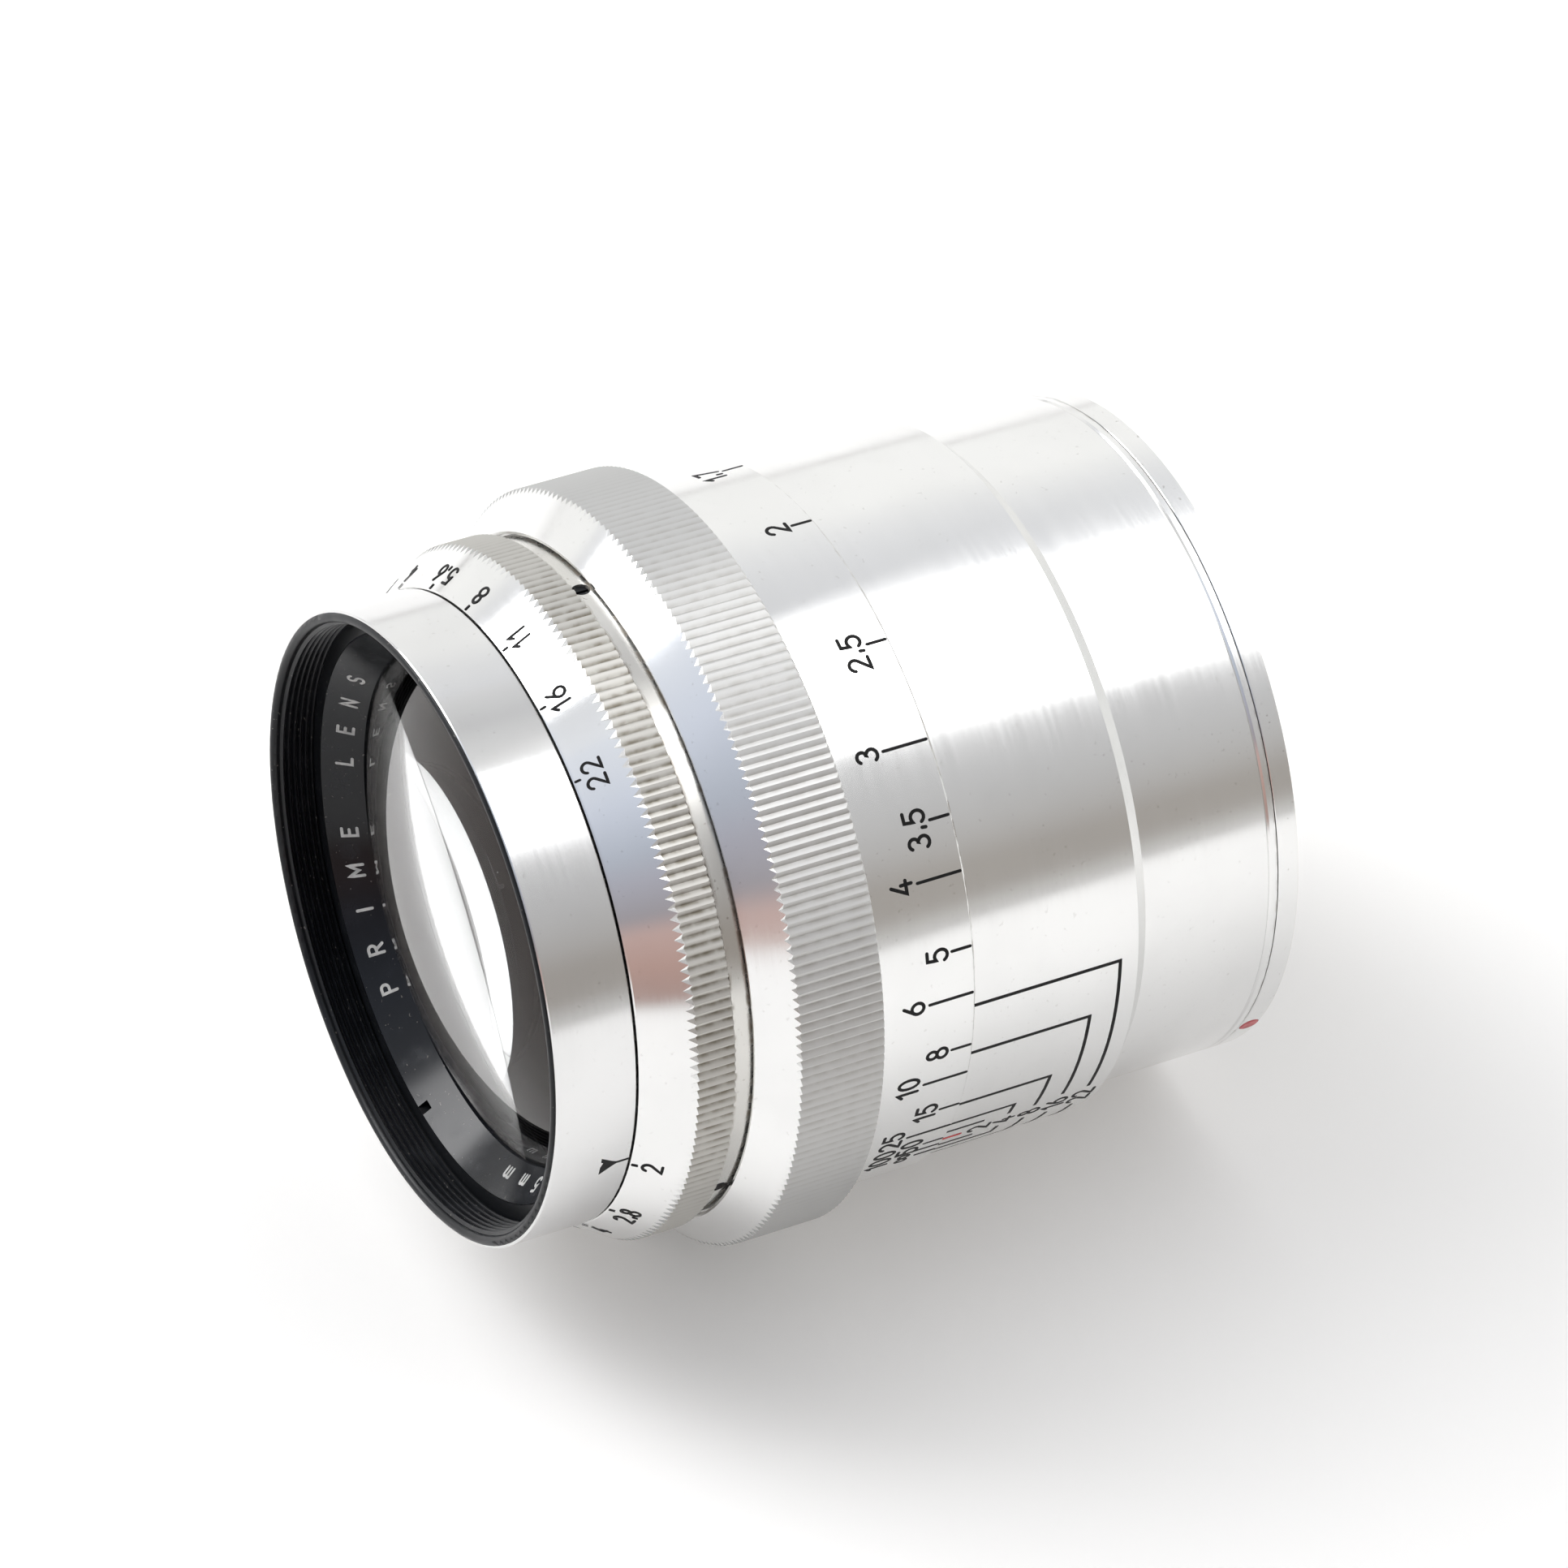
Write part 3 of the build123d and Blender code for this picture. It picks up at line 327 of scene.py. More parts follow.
# Single-stroke characters on a cell one unit high: character -> (advance, strokes)
STROKES = {
    "0": (0.82, [arc(0.30, 0.50, 0.28, 0.50, 90, 450)]),
    "1": (0.62, [[(0.08, 0.76), (0.32, 1.0), (0.32, 0.0)]]),
    "2": (0.82, [arc(0.30, 0.72, 0.27, 0.28, 165, -38) + [(0.02, 0.0), (0.58, 0.0)]]),
    "3": (0.82, [arc(0.28, 0.76, 0.24, 0.24, 150, -80) + arc(0.28, 0.27, 0.28, 0.27, 80, -150)]),
    "4": (0.84, [[(0.40, 1.0), (0.0, 0.27), (0.60, 0.27)], [(0.42, 0.52), (0.42, 0.0)]]),
    "5": (0.82, [[(0.54, 1.0), (0.12, 1.0), (0.07, 0.56)] + arc(0.27, 0.32, 0.29, 0.32, 110, -150)]),
    "6": (0.82, [[(0.44, 1.0)] + arc(0.30, 0.30, 0.28, 0.30, 158, 518)]),
    "7": (0.80, [[(0.02, 1.0), (0.56, 1.0), (0.20, 0.0)]]),
    "8": (0.82, [arc(0.30, 0.76, 0.22, 0.24, -90, 270), arc(0.30, 0.26, 0.28, 0.26, 90, 450)]),
    ",": (0.34, [[(0.10, 0.20), (0.08, 0.02)]]),
    ":": (0.34, [[(0.10, 0.22), (0.10, 0.28)], [(0.10, 0.66), (0.10, 0.72)]]),
    "=": (0.86, [[(0.06, 0.38), (0.56, 0.38)], [(0.06, 0.62), (0.56, 0.62)]]),
    " ": (0.80, []),
    "P": (0.86, [[(0.0, 0.0), (0.0, 1.0)] + arc(0.30, 0.745, 0.26, 0.255, 90, -90) + [(0.0, 0.49)]]),
    "R": (0.88, [[(0.0, 0.0), (0.0, 1.0)] + arc(0.30, 0.745, 0.26, 0.255, 90, -90) + [(0.0, 0.49)],
                 [(0.26, 0.49), (0.56, 0.0)]]),
    "I": (0.34, [[(0.04, 0.0), (0.04, 1.0)]]),
    "M": (1.02, [[(0.0, 0.0), (0.0, 1.0), (0.36, 0.30), (0.72, 1.0), (0.72, 0.0)]]),
    "E": (0.78, [[(0.50, 0.0), (0.0, 0.0), (0.0, 1.0), (0.50, 1.0)], [(0.0, 0.52), (0.42, 0.52)]]),
    "L": (0.76, [[(0.0, 1.0), (0.0, 0.0), (0.48, 0.0)]]),
    "N": (0.90, [[(0.0, 0.0), (0.0, 1.0), (0.56, 0.0), (0.56, 1.0)]]),
    "S": (0.84, [arc(0.28, 0.75, 0.25, 0.25, 35, 270) + arc(0.28, 0.25, 0.27, 0.25, 90, -150)]),
    "f": (0.60, [arc(0.34, 0.82, 0.18, 0.18, 60, 180) + [(0.16, 0.0)], [(0.0, 0.62), (0.36, 0.62)]]),
    "m": (1.02, [[(0.0, 0.0), (0.0, 0.66)], arc(0.18, 0.46, 0.18, 0.20, 180, 0) + [(0.36, 0.0)],
                 arc(0.54, 0.46, 0.18, 0.20, 180, 0) + [(0.72, 0.0)]]),
}


def infinity_sign():
    """A lying figure of eight, one stroke, from the curve of a lemniscate."""
    turns = [2 * math.pi * i / 32 for i in range(33)]
    loop = [(0.55 + 0.52 * math.cos(t) / (1 + math.sin(t) ** 2),
             0.50 + 0.85 * math.sin(t) * math.cos(t) / (1 + math.sin(t) ** 2)) for t in turns]
    return (1.3, [loop])


STROKES["infinity"] = infinity_sign()


class Engraving:
    """A set of painted strokes on a turned surface, gathered into one object."""

    def __init__(self, radius_at, reading=-1):
        """radius_at gives the surface radius in mm at a station. reading is -1 for text outside a ring,
        whose tops point to the front, and +1 for text on a ring that faces the front."""
        self.mesh = bmesh.new()
        self.radius_at = radius_at
        self.reading = reading

    def spot(self, across, station, angle, lift):
        radius = self.radius_at(station)
        turn = math.radians(angle) + self.reading * across / radius
        out = radius * MM + lift
        return Vector((out * math.sin(turn), station * MM, out * math.cos(turn)))

    def stroke(self, path, widths, angle, base, up=-1.0, round_ends=True):
        """One stroke along a path of (across, height) points in mm, laid at an angle and a base station."""
        path = dense(path)
        closed = math.dist(path[0], path[-1]) < 1e-6
        if closed:
            path = path[:-1]
        half = [widths / 2] * len(path) if isinstance(widths, (int, float)) else spread(widths, path)
        left, right = sides(path, half, closed)
        if not closed and round_ends:
            left, right = capped(path, half[0], left, right)
        count = len(left)
        rings = []
        for side, lift in ((left, ENGRAVING_LIFT), (right, ENGRAVING_LIFT),
                           (right, -ENGRAVING_SINK), (left, -ENGRAVING_SINK)):
            rings.append([self.mesh.verts.new(self.spot(x, base + up * h, angle, lift)) for x, h in side])
        for i in range(count if closed else count - 1):
            j = (i + 1) % count
            for a, b in ((0, 1), (1, 2), (2, 3), (3, 0)):
                self.mesh.faces.new((rings[a][i], rings[a][j], rings[b][j], rings[b][i]))
        if not closed:
            self.mesh.faces.new([ring[0] for ring in rings])
            self.mesh.faces.new([ring[-1] for ring in reversed(rings)])

    def text(self, words, height, angle, base, up=-1.0, stroke=TEXT_STROKE, spacing=1.0, widen=1.0):
        """Words centred on an angle, their feet on the base station. widen stretches them sideways."""
        glyphs = [STROKES["infinity"]] if words == "infinity" else [STROKES[c] for c in words]
        total = (sum(advance for advance, _ in glyphs) - LETTER_GAP) * spacing
        cursor = -total / 2 - (COMMA_SHIFT if "," in words else 0)
        for advance, strokes in glyphs:
            for line in strokes:
                path = [((cursor + x) * height * widen, y * height) for x, y in line]
                self.stroke(path, stroke, angle, base, up)
            cursor += advance * spacing

    def tick(self, angle, start, end, width=TICK_STROKE):
        """A straight mark along the axis."""
        self.stroke([(0, 0), (0, end - start)], width, angle, start, up=1.0)

    def build(self, name, material, body):
        bmesh.ops.recalc_face_normals(self.mesh, faces=self.mesh.faces)
        add_piece(name, self.mesh, material, body)


def dense(path):
    """The same path with no stretch longer than LONGEST_STEP."""
    out = [path[0]]
    for (ax, ay), (bx, by) in zip(path, path[1:]):
        parts = max(1, math.ceil(math.dist((ax, ay), (bx, by)) / LONGEST_STEP))
        out += [(ax + (bx - ax) * i / parts, ay + (by - ay) * i / parts) for i in range(1, parts + 1)]
    return [p for i, p in enumerate(out) if i == 0 or math.dist(p, out[i - 1]) > 1e-7]


def spread(widths, path):
    """Half widths along a path, from (fraction of its length, full width) pairs."""
    halves = []
    for i in range(len(path)):
        t = i / (len(path) - 1)
        for (t0, w0), (t1, w1) in zip(widths, widths[1:]):
            if t <= t1:
                halves.append((w0 + (w1 - w0) * (t - t0) / (t1 - t0)) / 2)
                break
    return halves


def sides(path, half, closed):
    """Left and right edges of a stroke, mitred at each corner."""
    left, right = [], []
    last = len(path) - 1
    for i, (x, y) in enumerate(path):
        before = path[i - 1] if (i or closed) else None
        after = path[(i + 1) % len(path)] if (i < last or closed) else None
        legs = []
        if before:
            legs.append(Vector((x - before[0], y - before[1])).normalized())
        if after:
            legs.append(Vector((after[0] - x, after[1] - y)).normalized())
        along = sum(legs, Vector((0, 0))).normalized()
        stretch = 1 / max(0.55, along.dot(legs[0]))
        nx, ny = -along.y * half[i] * stretch, along.x * half[i] * stretch
        left.append((x + nx, y + ny))
        right.append((x - nx, y - ny))
    return left, right


def capped(path, half, left, right):
    """Rounds both ends of a stroke."""
    def cap(tip, inner):
        along = (Vector(tip) - Vector(inner)).normalized()
        across = Vector((-along.y, along.x))
        lefts, rights = [], []
        for turn in (30, 60, 84):
            out = Vector(tip) + along * half * math.sin(math.radians(turn))
            side = across * half * math.cos(math.radians(turn))
            lefts.append(tuple(out + side))
            rights.append(tuple(out - side))
        return lefts, rights
    end_left, end_right = cap(path[-1], path[-2])
    start_right, start_left = cap(path[0], path[1])
    return start_left[::-1] + left + end_left, start_right[::-1] + right + end_right


# ------------------------------------------------------------------ pieces

def add_piece(name, mesh, material, body):
    data = bpy.data.meshes.new(name)
    mesh.to_mesh(data)
    mesh.free()
    data.materials.append(material)
    piece = bpy.data.objects.new(name, data)
    bpy.context.scene.collection.objects.link(piece)
    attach(piece, body)
    return piece


def distance_angle(metres):
    """Place of a distance on the scale: the turn of the ring grows with the inverse of the distance."""
    return INFINITY_ANGLE - 232.0 / (metres - 0.1)


def distance_scale(black):
    edge = back("distance_sleeve")
    marks = Engraving(lambda station: reach("distance_sleeve"))
    far_row = (3, 4, 6, 10, 25, 100)
    near_row = (1.7, 2, 2.5, 3.5, 5, 8, 15, 50)
    for metres in far_row + near_row:
        tick_length, foot = (4.0, 4.33) if metres in far_row else (1.9, 2.13)
        angle = distance_angle(metres)
        words = f"{metres:g}".replace(".", ",")
        marks.tick(angle, edge - tick_length + 0.05, edge - TICK_GAP)
        marks.text(words, 1.72, angle, edge - foot - 0.12)
    marks.tick(INFINITY_ANGLE, edge - 1.9, edge - TICK_GAP)
    marks.text("infinity", 1.5, INFINITY_ANGLE, edge - 2.3)
    marks.build("distance_scale", black, "focus_unit")


def depth_scale(black):
    """Depth-of-field lines: each leaves the barrel's front edge, then turns towards the red index."""
    edge = front("depth_barrel") + DEPTH_NECK
    radius = reach("depth_barrel")
    marks = Engraving(lambda station: radius)
    rows = {2: 3.8, 4: 6.0, 8: 8.3, 16: 10.6, 22: 12.9}
    for stop, row in rows.items():
        gap = 3.0 if stop < 10 else 4.3
        for side in (-1, 1):
            angle = INDEX_ANGLE + side * DEPTH_PER_STOP * stop
            length = math.radians(DEPTH_PER_STOP * stop - gap) * radius
            path = [(0, 0.04), (0, row)]
            if length > 0.2:
                path.append((side * length, row))
            marks.stroke(path, DEPTH_STROKE, angle, edge, up=1.0, round_ends=False)
        marks.text(str(stop), 1.75, INDEX_ANGLE, edge + row + 0.87)
    marks.build("depth_scale", black, "barrel")


def focus_index(red):
    edge = front("depth_barrel") + DEPTH_NECK
    marks = Engraving(lambda station: reach("depth_barrel"))
    marks.tick(INDEX_ANGLE, edge + 0.55, edge + 2.1, 0.42)
    marks.build("focus_index", red, "barrel")


def aperture_scale(black):
    """Two like scales, half a turn apart, on the ring's cone."""
    start, end = front("aperture_ring"), front("aperture_ring") + APERTURE_CONE
    small, large = APERTURE_CONE_R

    def cone(station):
        return small + (large - small) * (station - start) / (end - start)

    marks = Engraving(cone)
    stops = ("22", "16", "11", "8", "5,6", "4", "2,8", "2")
    for half_turn in (0, 180):
        angle = APERTURE_START + half_turn
        for i, words in enumerate(stops):
            marks.tick(angle, start + 0.12, start + 0.42, 0.17)
            marks.text(words, 1.30, angle, start + 2.08, stroke=0.19, spacing=1.10, widen=1.12)
            angle -= OPEN_PITCH if i == len(stops) - 2 else APERTURE_PITCH
    marks.build("aperture_scale", black, "aperture_unit")


def rim_index(black):
    """The black triangle and line on the front rim that the aperture is read against, twice."""
    edge = back("front_rim")
    marks = Engraving(lambda station: reach("front_rim"))
    for angle in RIM_INDEX_ANGLES:
        widths = ((0, 2.0), (0.54, 0.22), (1, 0.22))
        marks.stroke([(0, 0), (0, 2.4)], widths, angle, edge - 2.5, up=1.0, round_ends=False)
    marks.build("rim_index", black, "focus_unit")


def name_lettering(white):
    """Generic lettering on the cone round the front glass."""
    low, high = NAME_CONE_Y
    wide, narrow = NAME_CONE_R
    slope = (wide - narrow) / (high - low)
    marks = Engraving(lambda station: wide - slope * (station - low), reading=1)
    foot = high - 0.75
    for words, start, pitch in (("PRIME LENS", -147.7, 8.6), ("1:2", 84.0, 6.4), ("f=85mm", 113.0, 7.9)):
        for i, letter in enumerate(words):
            marks.text(letter, 1.25, start + i * pitch, foot, up=-0.8, stroke=0.24)
    marks.build("name_lettering", white, "focus_unit")


def filter_thread(black):
    """The accessory thread inside the front rim: one ridge wound as a true helix."""
    pitch, turns, per_turn = 0.5, 6, 96
    first = front("filter_ring") + 0.45
    wall, crest = FILTER_BORE_R + 0.02, FILTER_BORE_R - 0.27
    profile = ((wall, -0.21), (crest, -0.04), (crest, 0.04), (wall, 0.21))
    mesh = bmesh.new()
    rings = []
    for i in range(turns * per_turn + 1):
        turn = 2 * math.pi * i / per_turn
        station = first + pitch * i / per_turn
        ends = min(i, turns * per_turn - i) / 12
        rise = min(1.0, 0.1 + 0.9 * ends)
        ring = []
        for radius, offset in profile:
            radius = wall + (radius - wall) * rise
            point = Vector((radius * math.sin(turn), station + offset, radius * math.cos(turn)))
            ring.append(mesh.verts.new(point * MM))
        rings.append(ring)
    for one, two in zip(rings, rings[1:]):
        for a in range(4):
            b = (a + 1) % 4
            mesh.faces.new((one[a], one[b], two[b], two[a]))
    mesh.faces.new(rings[0])
    mesh.faces.new(rings[-1][::-1])
    bmesh.ops.recalc_face_normals(mesh, faces=mesh.faces)
    add_piece("filter_thread", mesh, black, "focus_unit")


def glass_piece(name, glass, front_vertex, front_radius, back_vertex, back_radius, edge, nodes):
    """A polished lens turned from two spheres and a ground cylindrical edge, in place of the given nodes.
    A radius of curvature is positive when its centre lies towards the camera end."""
    def sag(radius, r):
        return radius - math.copysign(math.sqrt(radius * radius - r * r), radius)

    segments, steps = 160, 40
    heights = [edge * i / steps for i in range(steps + 1)]
    outline = [(r, front_vertex + sag(front_radius, r)) for r in heights]
    outline += [(r, back_vertex + sag(back_radius, r)) for r in reversed(heights)]
    turns = [2 * math.pi * k / segments for k in range(segments)]
    mesh = bmesh.new()
    rings = []
    for r, station in outline:
        if r == 0:
            rings.append([mesh.verts.new((0, station * MM, 0))] * segments)
            continue
        spots = [(r * MM * math.sin(t), station * MM, r * MM * math.cos(t)) for t in turns]
        rings.append([mesh.verts.new(spot) for spot in spots])
    for one, two in zip(rings, rings[1:]):
        for k in range(segments):
            corners = (one[k], one[k - 1], two[k - 1], two[k])
            mesh.faces.new(tuple(dict.fromkeys(corners)))
    bmesh.ops.recalc_face_normals(mesh, faces=mesh.faces)
    for edge_line in mesh.edges:
        if len(edge_line.link_faces) == 2 and edge_line.calc_face_angle(0) > math.radians(25):
            edge_line.smooth = False
    piece = add_piece(name, mesh, glass, "focus_unit")
    for face in piece.data.polygons:
        face.use_smooth = True
    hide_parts(*nodes)


# ------------------------------------------------------------------ finishes of the CAD nodes

SILVER = (0.83, 0.83, 0.82, 1)


def knurled(node, cone, tooth, groove):
    """The toothed stretch behind a ring's cone, as turned_metal takes it."""
    return reach(node), front(node) + cone, back(node), tooth, groove


def ring_looks():
    """Bright pieces that have a look of their own, from the front to the back."""
    teeth = knurled("aperture_ring", APERTURE_CONE, (0.56, 0.55, 0.52, 1), (0.20, 0.18, 0.14, 1))
    wide_teeth = knurled("focus_ring", FOCUS_CONE, (0.58, 0.58, 0.57, 1), (0.45, 0.44, 0.42, 1))
    rim_seams = ((back("front_rim"), 0.25, 0.5),)
    aperture_seams = ((back("aperture_ring"), 0.5, 0.9),)
    collar_seams = ((front("helicoid_tube"), 0.45, 0.8), (COLLAR_BACK, 0.35, 0.8))
    barrel_seams = ((front("depth_barrel") + DEPTH_NECK, 0.22, 0.5), (REAR_PARTING, 0.22, 0.4))
    return {
        "front_rim": turned_metal("rim_alloy", (0.76, 0.76, 0.755, 1), 0.16, lines=0.30, seams=rim_seams),
        "aperture_ring": turned_metal("aperture_alloy", SILVER, 0.17, seams=aperture_seams, knurl=teeth),
        "helicoid_tube": turned_metal("collar_plating", (0.66, 0.65, 0.62, 1), 0.22, seams=collar_seams,
                                      dirt=0.6),
        "focus_ring": turned_metal("focus_alloy", SILVER, 0.17, knurl=wide_teeth),
        "mount_ring": turned_metal("mount_chrome", SILVER, 0.15, dirt=0.5),
        "depth_barrel": turned_metal("barrel_alloy", SILVER, 0.15, seams=barrel_seams),
    }


def black_looks():
    """Black pieces that are glossier or duller than the plain anodising."""
    looks = {
        "head_set_screws": black_finish("blackened_screws", roughness=0.5),
        "name_ring": black_finish("name_ring_enamel", (0.0034, 0.0042, 0.0060, 1), 0.20, gloss=0.30),
    }
    cell_black = black_finish("cell_black", (0.0030, 0.0022, 0.0017, 1), 0.5, gloss=0.06)
    for inner in ("front_cell", "triplet_retaining_ring", "iris_drive_ring", "iris_base_plate", "rear_cell"):
        looks[inner] = cell_black
    return looks


def slot_looks():
    """The look of each material slot, for the pieces that have no look of their own."""
    sleeve_seams = ((back("distance_sleeve"), 0.22, 0.5),)
    steel = turned_metal("steel_look", (0.62, 0.61, 0.60, 1), 0.22, anisotropy=0.4)
    return {
        "satin_alloy": turned_metal("satin_alloy_look", SILVER, 0.15, seams=sleeve_seams),
        "plated_brass": turned_metal("plated_brass_look", (0.74, 0.70, 0.62, 1), 0.26),
        "chrome_steel": steel,
        "screw_steel": steel,
        "blade_steel": turned_metal("blade_look", (0.12, 0.12, 0.13, 1), 0.38, anisotropy=0.2),
        "bronze": turned_metal("bronze_look", (0.58, 0.40, 0.22, 1), 0.34),
        "black_anodised": black_finish("black_anodised_look"),
        "optical_glass": optical_glass("plain_glass_look", (0.97, 0.98, 0.97, 1), 1.6),
        "red_enamel": paint("red_enamel_look", (0.62, 0.15, 0.16, 1), 0.3),
    }


def dress_nodes():
    own_looks = ring_looks() | black_looks()
    by_slot = slot_looks()
    slots = node_slots()
    for name, node in NODES.items():
        look = own_looks.get(name) or by_slot[slots[name]]
        for material_slot in node.material_slots:
            material_slot.material = look
        if not node.material_slots:
            node.data.materials.append(look)


def node_slots():
    """Which material slot each CAD node takes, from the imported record."""
    return {part["node"]: part["material_slot"] for part in frame["record"]["subparts"]}


# ------------------------------------------------------------------ stage, light and camera

CAMERA_PLACE = (0.40236, -0.27965, 0.43786)
CAMERA_RIGHT = (0.45896, 0.88476, 0.08099)
CAMERA_UP = (-0.62952, 0.25952, 0.73236)
CAMERA_LENS = 188.35           # mm, on a frame 36 mm wide

TABLE_HALF = 2.5               # half the table's side, in metres
TABLE_GAP = 0.02 * MM          # keeps the table's face clear of the edges that rest on it
TABLE_WHITE = ((0.90, 0.893, 0.878, 1), (0.87, 0.864, 0.85, 1))
# painted shade: far from the lens the table is darkened, so that the metal mirrors a shaded room
TABLE_FAR_PAINTED_SHADE = (0.42, 0.41, 0.40, 1)
# painted light: the table glows near the lens, though it is no lamp
TABLE_GLOW = (1, 0.99, 0.965, 1)

CARD_LOW = Vector((-95, -160))     # corners of the grey card over the lens, in mm
CARD_HIGH = Vector((4, 13))
CARD_HEIGHT = 160
CARD_TONES = ((0.0, (0.80, 0.80, 0.81, 1)), (0.45, (0.62, 0.62, 0.63, 1)), (1.0, (0.95, 0.95, 0.95, 1)))

# What stands in front and to the right of the lens, from low to high: warm wood, shade, then bluish walls
ROOM_TONES = (
    (0.05, (0.44, 0.30, 0.27, 1)), (0.16, (0.52, 0.35, 0.31, 1)), (0.29, (0.60, 0.43, 0.40, 1)),
    (0.36, (0.38, 0.36, 0.39, 1)), (0.50, (0.46, 0.46, 0.53, 1)), (0.61, (0.51, 0.55, 0.64, 1)),
    (0.80, (0.72, 0.77, 0.89, 1)), (0.94, (0.82, 0.86, 0.94, 1)),
)
LAMP_REAR = (3.4, 3.4, 3.42, 1)
LAMP_FRONT = (8.5, 8.5, 8.6, 1)    # the softbox is brighter towards the front of the lens
SURROUND_BRIGHT = (1.08, 1.08, 1.07, 1)
SURROUND_DIM = (0.78, 0.79, 0.82, 1)
SHADE_UPPER = (0.62, 0.62, 0.63, 1)
SHADE_LOWER = (0.43, 0.405, 0.38, 1)
SHADE_HORIZON = (0.66, 0.65, 0.64, 1)
BACKDROP = (1.05, 1.05, 1.05, 1)
SOFT_LIGHT_LOSS = 0.51             # matt surfaces get this much less of the surroundings than mirrors do


def square(name, corners, material):
    """One flat face, linked to the scene and attached to no body, so that it isn't part of the lens."""
    mesh = bmesh.new()
    mesh.faces.new([mesh.verts.new(corner) for corner in corners])
    data = bpy.data.meshes.new(name)
    mesh.to_mesh(data)
    mesh.free()
    data.materials.append(material)
    sheet = bpy.data.objects.new(name, data)
    bpy.context.scene.collection.objects.link(sheet)
    return sheet


def floor():
    """A white table top. The lens rests on its focusing knurl and its rear edge, so it dips to the front.
    Far to both sides, where only mirror images show it, the table is darker: painted shade that stands for a
    shaded room. Near the lens the table glows a little, painted light that keeps it white."""
    front_rest = Vector((0, back("focus_ring"), -reach("focus_ring"))) * MM
    rear_rest = Vector((0, 0, -reach("mount_ring"))) * MM
    slope = (rear_rest - front_rest).normalized()
    up = Vector((1, 0, 0)).cross(slope).normalized()
    centre = front_rest - up * TABLE_GAP
    sideways, lengthways = Vector((TABLE_HALF, 0, 0)), slope * TABLE_HALF
    corners = [centre + sideways * a + lengthways * b for a, b in ((-1, -1), (1, -1), (1, 1), (-1, 1))]
    g = Turned("table_white")
    tone = g.mix(g.noise(g.place, 0.02), *TABLE_WHITE)
    # painted light and shade: near the lens the table glows, far from it the table is darkened
    near = g.smooth(g.radius, 350, 1500, 1.0, 0.0)
    tone = g.mix(near, TABLE_FAR_PAINTED_SHADE, tone)
    surface = g.principled(Base_Color=tone, Roughness=0.6, Emission_Color=TABLE_GLOW,
                           Emission_Strength=g.math("MULTIPLY", near, 0.15))
    square("table_top", corners, g.finish(surface))


def card():
    """A grey card over the front of the lens. Only the metal's mirror images see it."""
    low, high = CARD_LOW, CARD_HIGH
    outline = ((low.x, low.y), (high.x, low.y), (high.x, high.y), (low.x, high.y))
    corners = [Vector((x, y, CARD_HEIGHT)) * MM for x, y in outline]
    g = Turned("grey_card")
    glow = g.ramp(g.smooth_line(g.x, low.x, high.x), CARD_TONES)
    mottled = g.mix(g.smooth(g.noise(g.place, 0.03), 0.3, 0.7, 0.0, 0.15), glow, (0.8, 0.8, 0.8, 1))
    material = g.finish(g.node("ShaderNodeEmission", {"Color": mottled}).outputs[0])
    sheet = square("grey_card", corners, material)
    sheet.visible_camera = False
    sheet.visible_diffuse = False
    sheet.visible_shadow = False


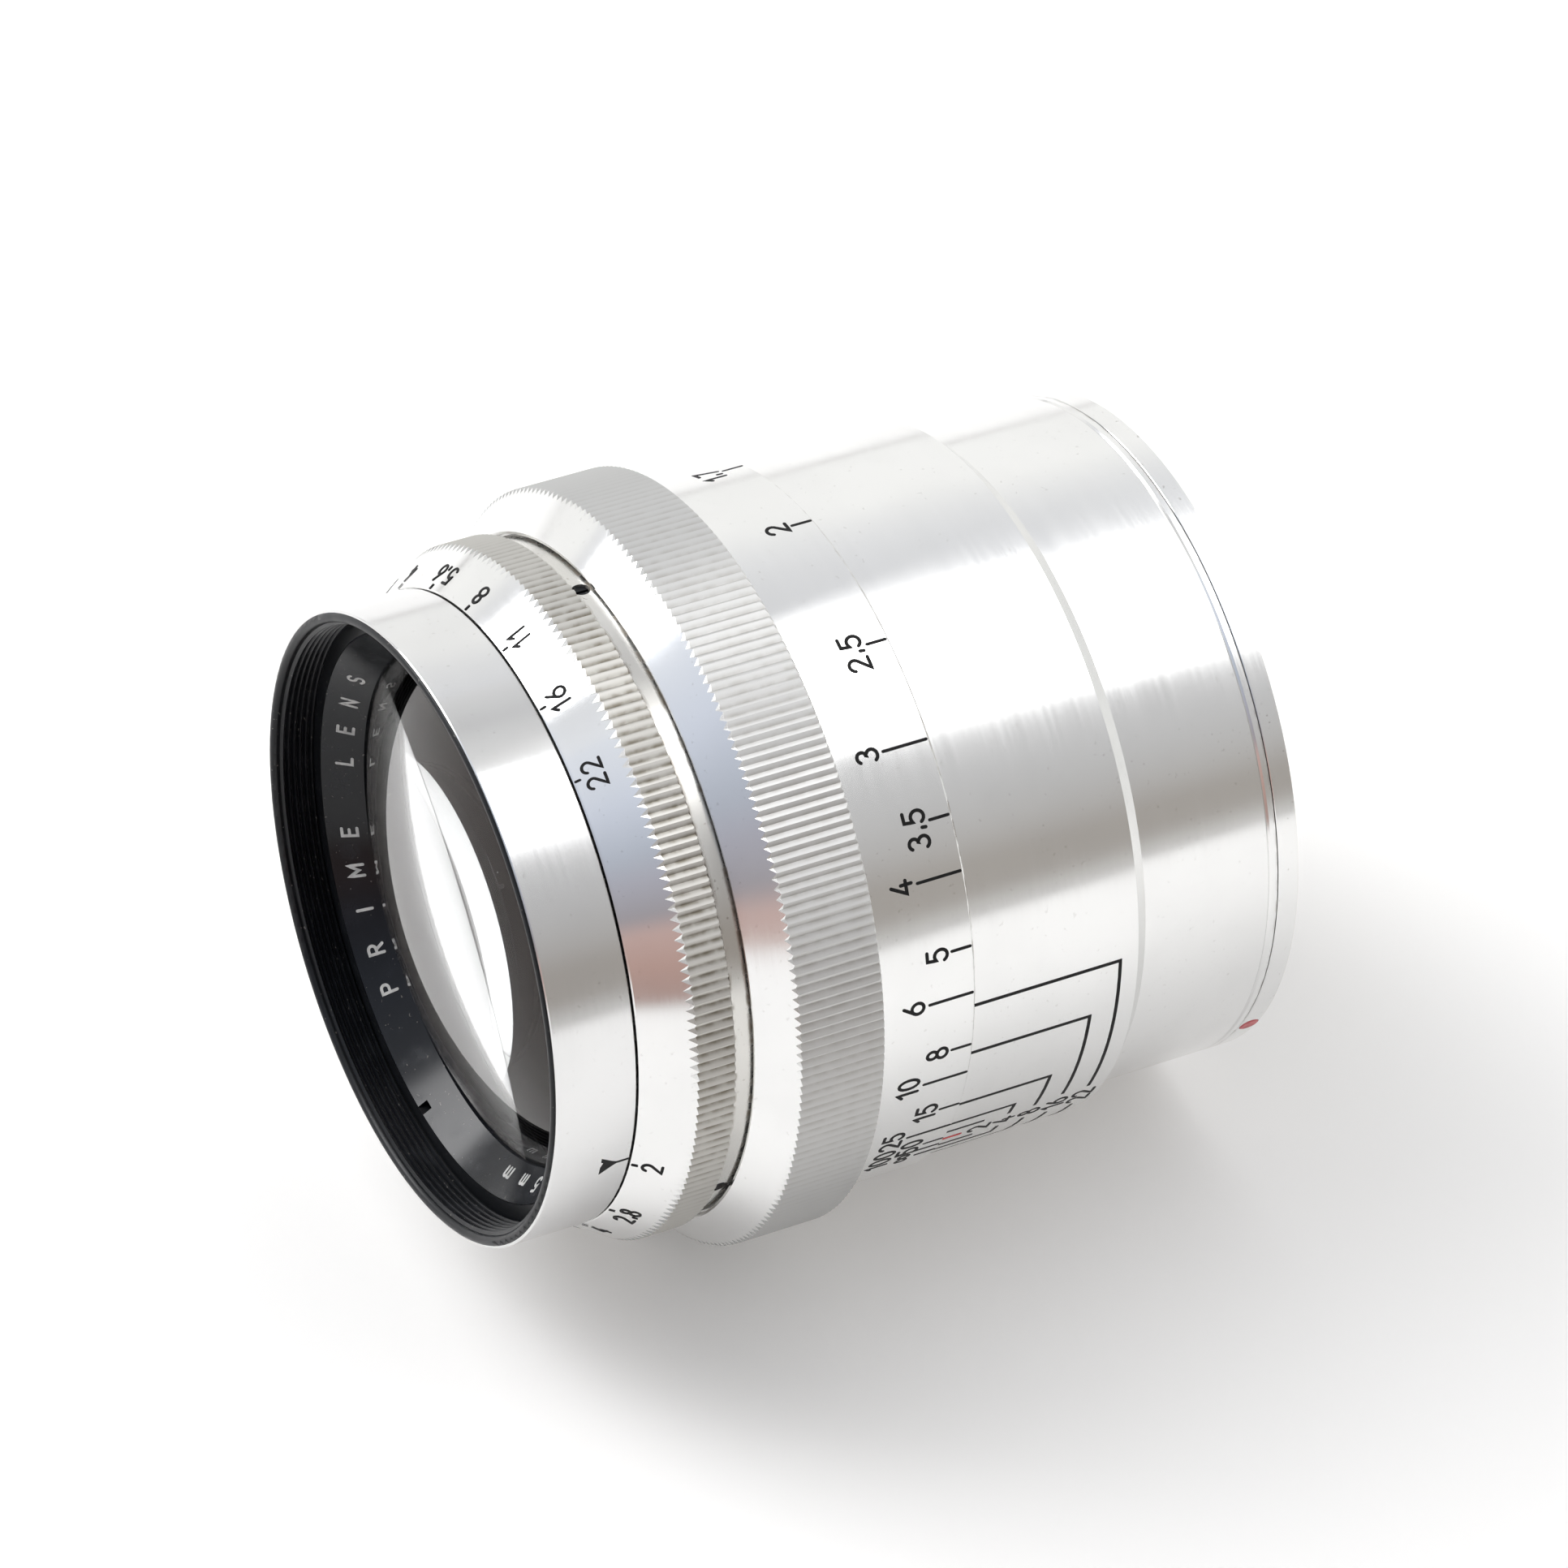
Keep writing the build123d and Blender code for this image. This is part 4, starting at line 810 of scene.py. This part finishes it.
def studio():
    """White surroundings with one long overhead softbox and a darker side, as the metal mirrors them.
    Directions are told apart as on a ceiling one unit up: side goes along X and along goes along Y."""
    world = bpy.data.worlds.new("studio")
    bpy.context.scene.world = world
    world.use_nodes = True
    g = Graph(world.node_tree)
    x, y, z = g.split(g.node("ShaderNodeTexCoord").outputs["Generated"])
    height = g.math("MAXIMUM", z, 0.03)
    side = g.math("DIVIDE", x, height)
    along = g.math("DIVIDE", y, height)

    # distances from the softbox's two slanting edges
    near_edge = g.math("SUBTRACT", side, g.math("MULTIPLY", g.math("SUBTRACT", along, 0.44), 1.2))
    far_edge = g.math("SUBTRACT", side, g.math("MULTIPLY", g.math("SUBTRACT", along, 0.49), 0.7))
    inside_edges = (
        g.smooth(near_edge, -0.34, -0.30), g.smooth(far_edge, 0.505, 0.52, 1.0, 0.0),
        g.smooth(along, 1.8, 2.1, 1.0, 0.0), g.smooth(along, -2.6, -2.2),
    )
    box = inside_edges[0]
    for inside in inside_edges[1:]:
        box = g.math("MULTIPLY", box, inside)

    # the darker side beyond the far edge, with the room in front of the lens
    shaded = g.mix(g.smooth(far_edge, 0.6, 2.6), SHADE_UPPER, SHADE_LOWER)
    shaded = g.mix(g.smooth(z, 0.0, 0.16), SHADE_HORIZON, shaded)
    slant = g.math("MULTIPLY_ADD", x, -0.76, z)
    room = g.ramp(g.smooth_line(slant, -0.7, 0.8), ROOM_TONES)
    shaded = g.mix(g.smooth(y, 0.15, -0.40), shaded, room)

    tone = g.mix(g.smooth(near_edge, -2.2, -0.45), SURROUND_BRIGHT, SURROUND_DIM)
    tone = g.mix(g.smooth(far_edge, 0.49, 0.52), tone, shaded)
    tone = g.mix(box, tone, g.mix(g.smooth(along, -0.8, -0.2), LAMP_FRONT, LAMP_REAR))
    ray = g.node("ShaderNodeLightPath").outputs
    tone = g.mix(ray["Is Camera Ray"], tone, BACKDROP)
    strength = g.math("MULTIPLY_ADD", ray["Is Diffuse Ray"], -SOFT_LIGHT_LOSS, 1.0)
    background = g.node("ShaderNodeBackground", {"Color": tone, "Strength": strength})
    g.node("ShaderNodeOutputWorld", {"Surface": background.outputs[0]})


def camera():
    right, up = Vector(CAMERA_RIGHT), Vector(CAMERA_UP)
    away = right.cross(up)
    data = bpy.data.cameras.new("camera")
    data.sensor_width = 36
    data.lens = CAMERA_LENS
    data.clip_start = 0.01
    eye = bpy.data.objects.new("camera", data)
    turn = Matrix((right, up, away)).transposed().to_4x4()
    eye.matrix_world = Matrix.Translation(CAMERA_PLACE) @ turn
    bpy.context.scene.collection.objects.link(eye)
    bpy.context.scene.camera = eye


# ------------------------------------------------------------------ the scene

dress_nodes()
black_paint = paint("engraving_black", (0.012, 0.012, 0.012, 1))
red_paint = paint("index_red", (0.60, 0.07, 0.07, 1))
white_paint = paint("lettering_white", (0.62, 0.62, 0.60, 1))
distance_scale(black_paint)
depth_scale(black_paint)
focus_index(red_paint)
aperture_scale(black_paint)
rim_index(black_paint)
name_lettering(white_paint)
filter_thread(black_finish("thread_black", roughness=0.30))

# The cemented elements of a group are one piece of glass here, because glass faces that touch render black
clear = optical_glass("front_glass_look", (0.97, 0.98, 0.98, 1), 1.62)
inner = optical_glass("inner_glass_look", (0.95, 0.97, 0.96, 1), 1.62)
glass_piece("front_glass", clear, -62.20, 46.0, -56.00, 250.0, 20.9, ["front_element"])
glass_piece("triplet_glass", inner, -55.50, 31.0, -40.96, 21.0, 15.5,
            ["triplet_front_element", "triplet_middle_element", "triplet_rear_element"])
glass_piece("rear_glass", inner, -30.00, -200.0, -16.46, -60.0, 12.5,
            ["rear_front_element", "rear_middle_element", "rear_rear_element"])

floor()
card()
studio()
camera()
bpy.context.scene.view_settings.view_transform = "Standard"
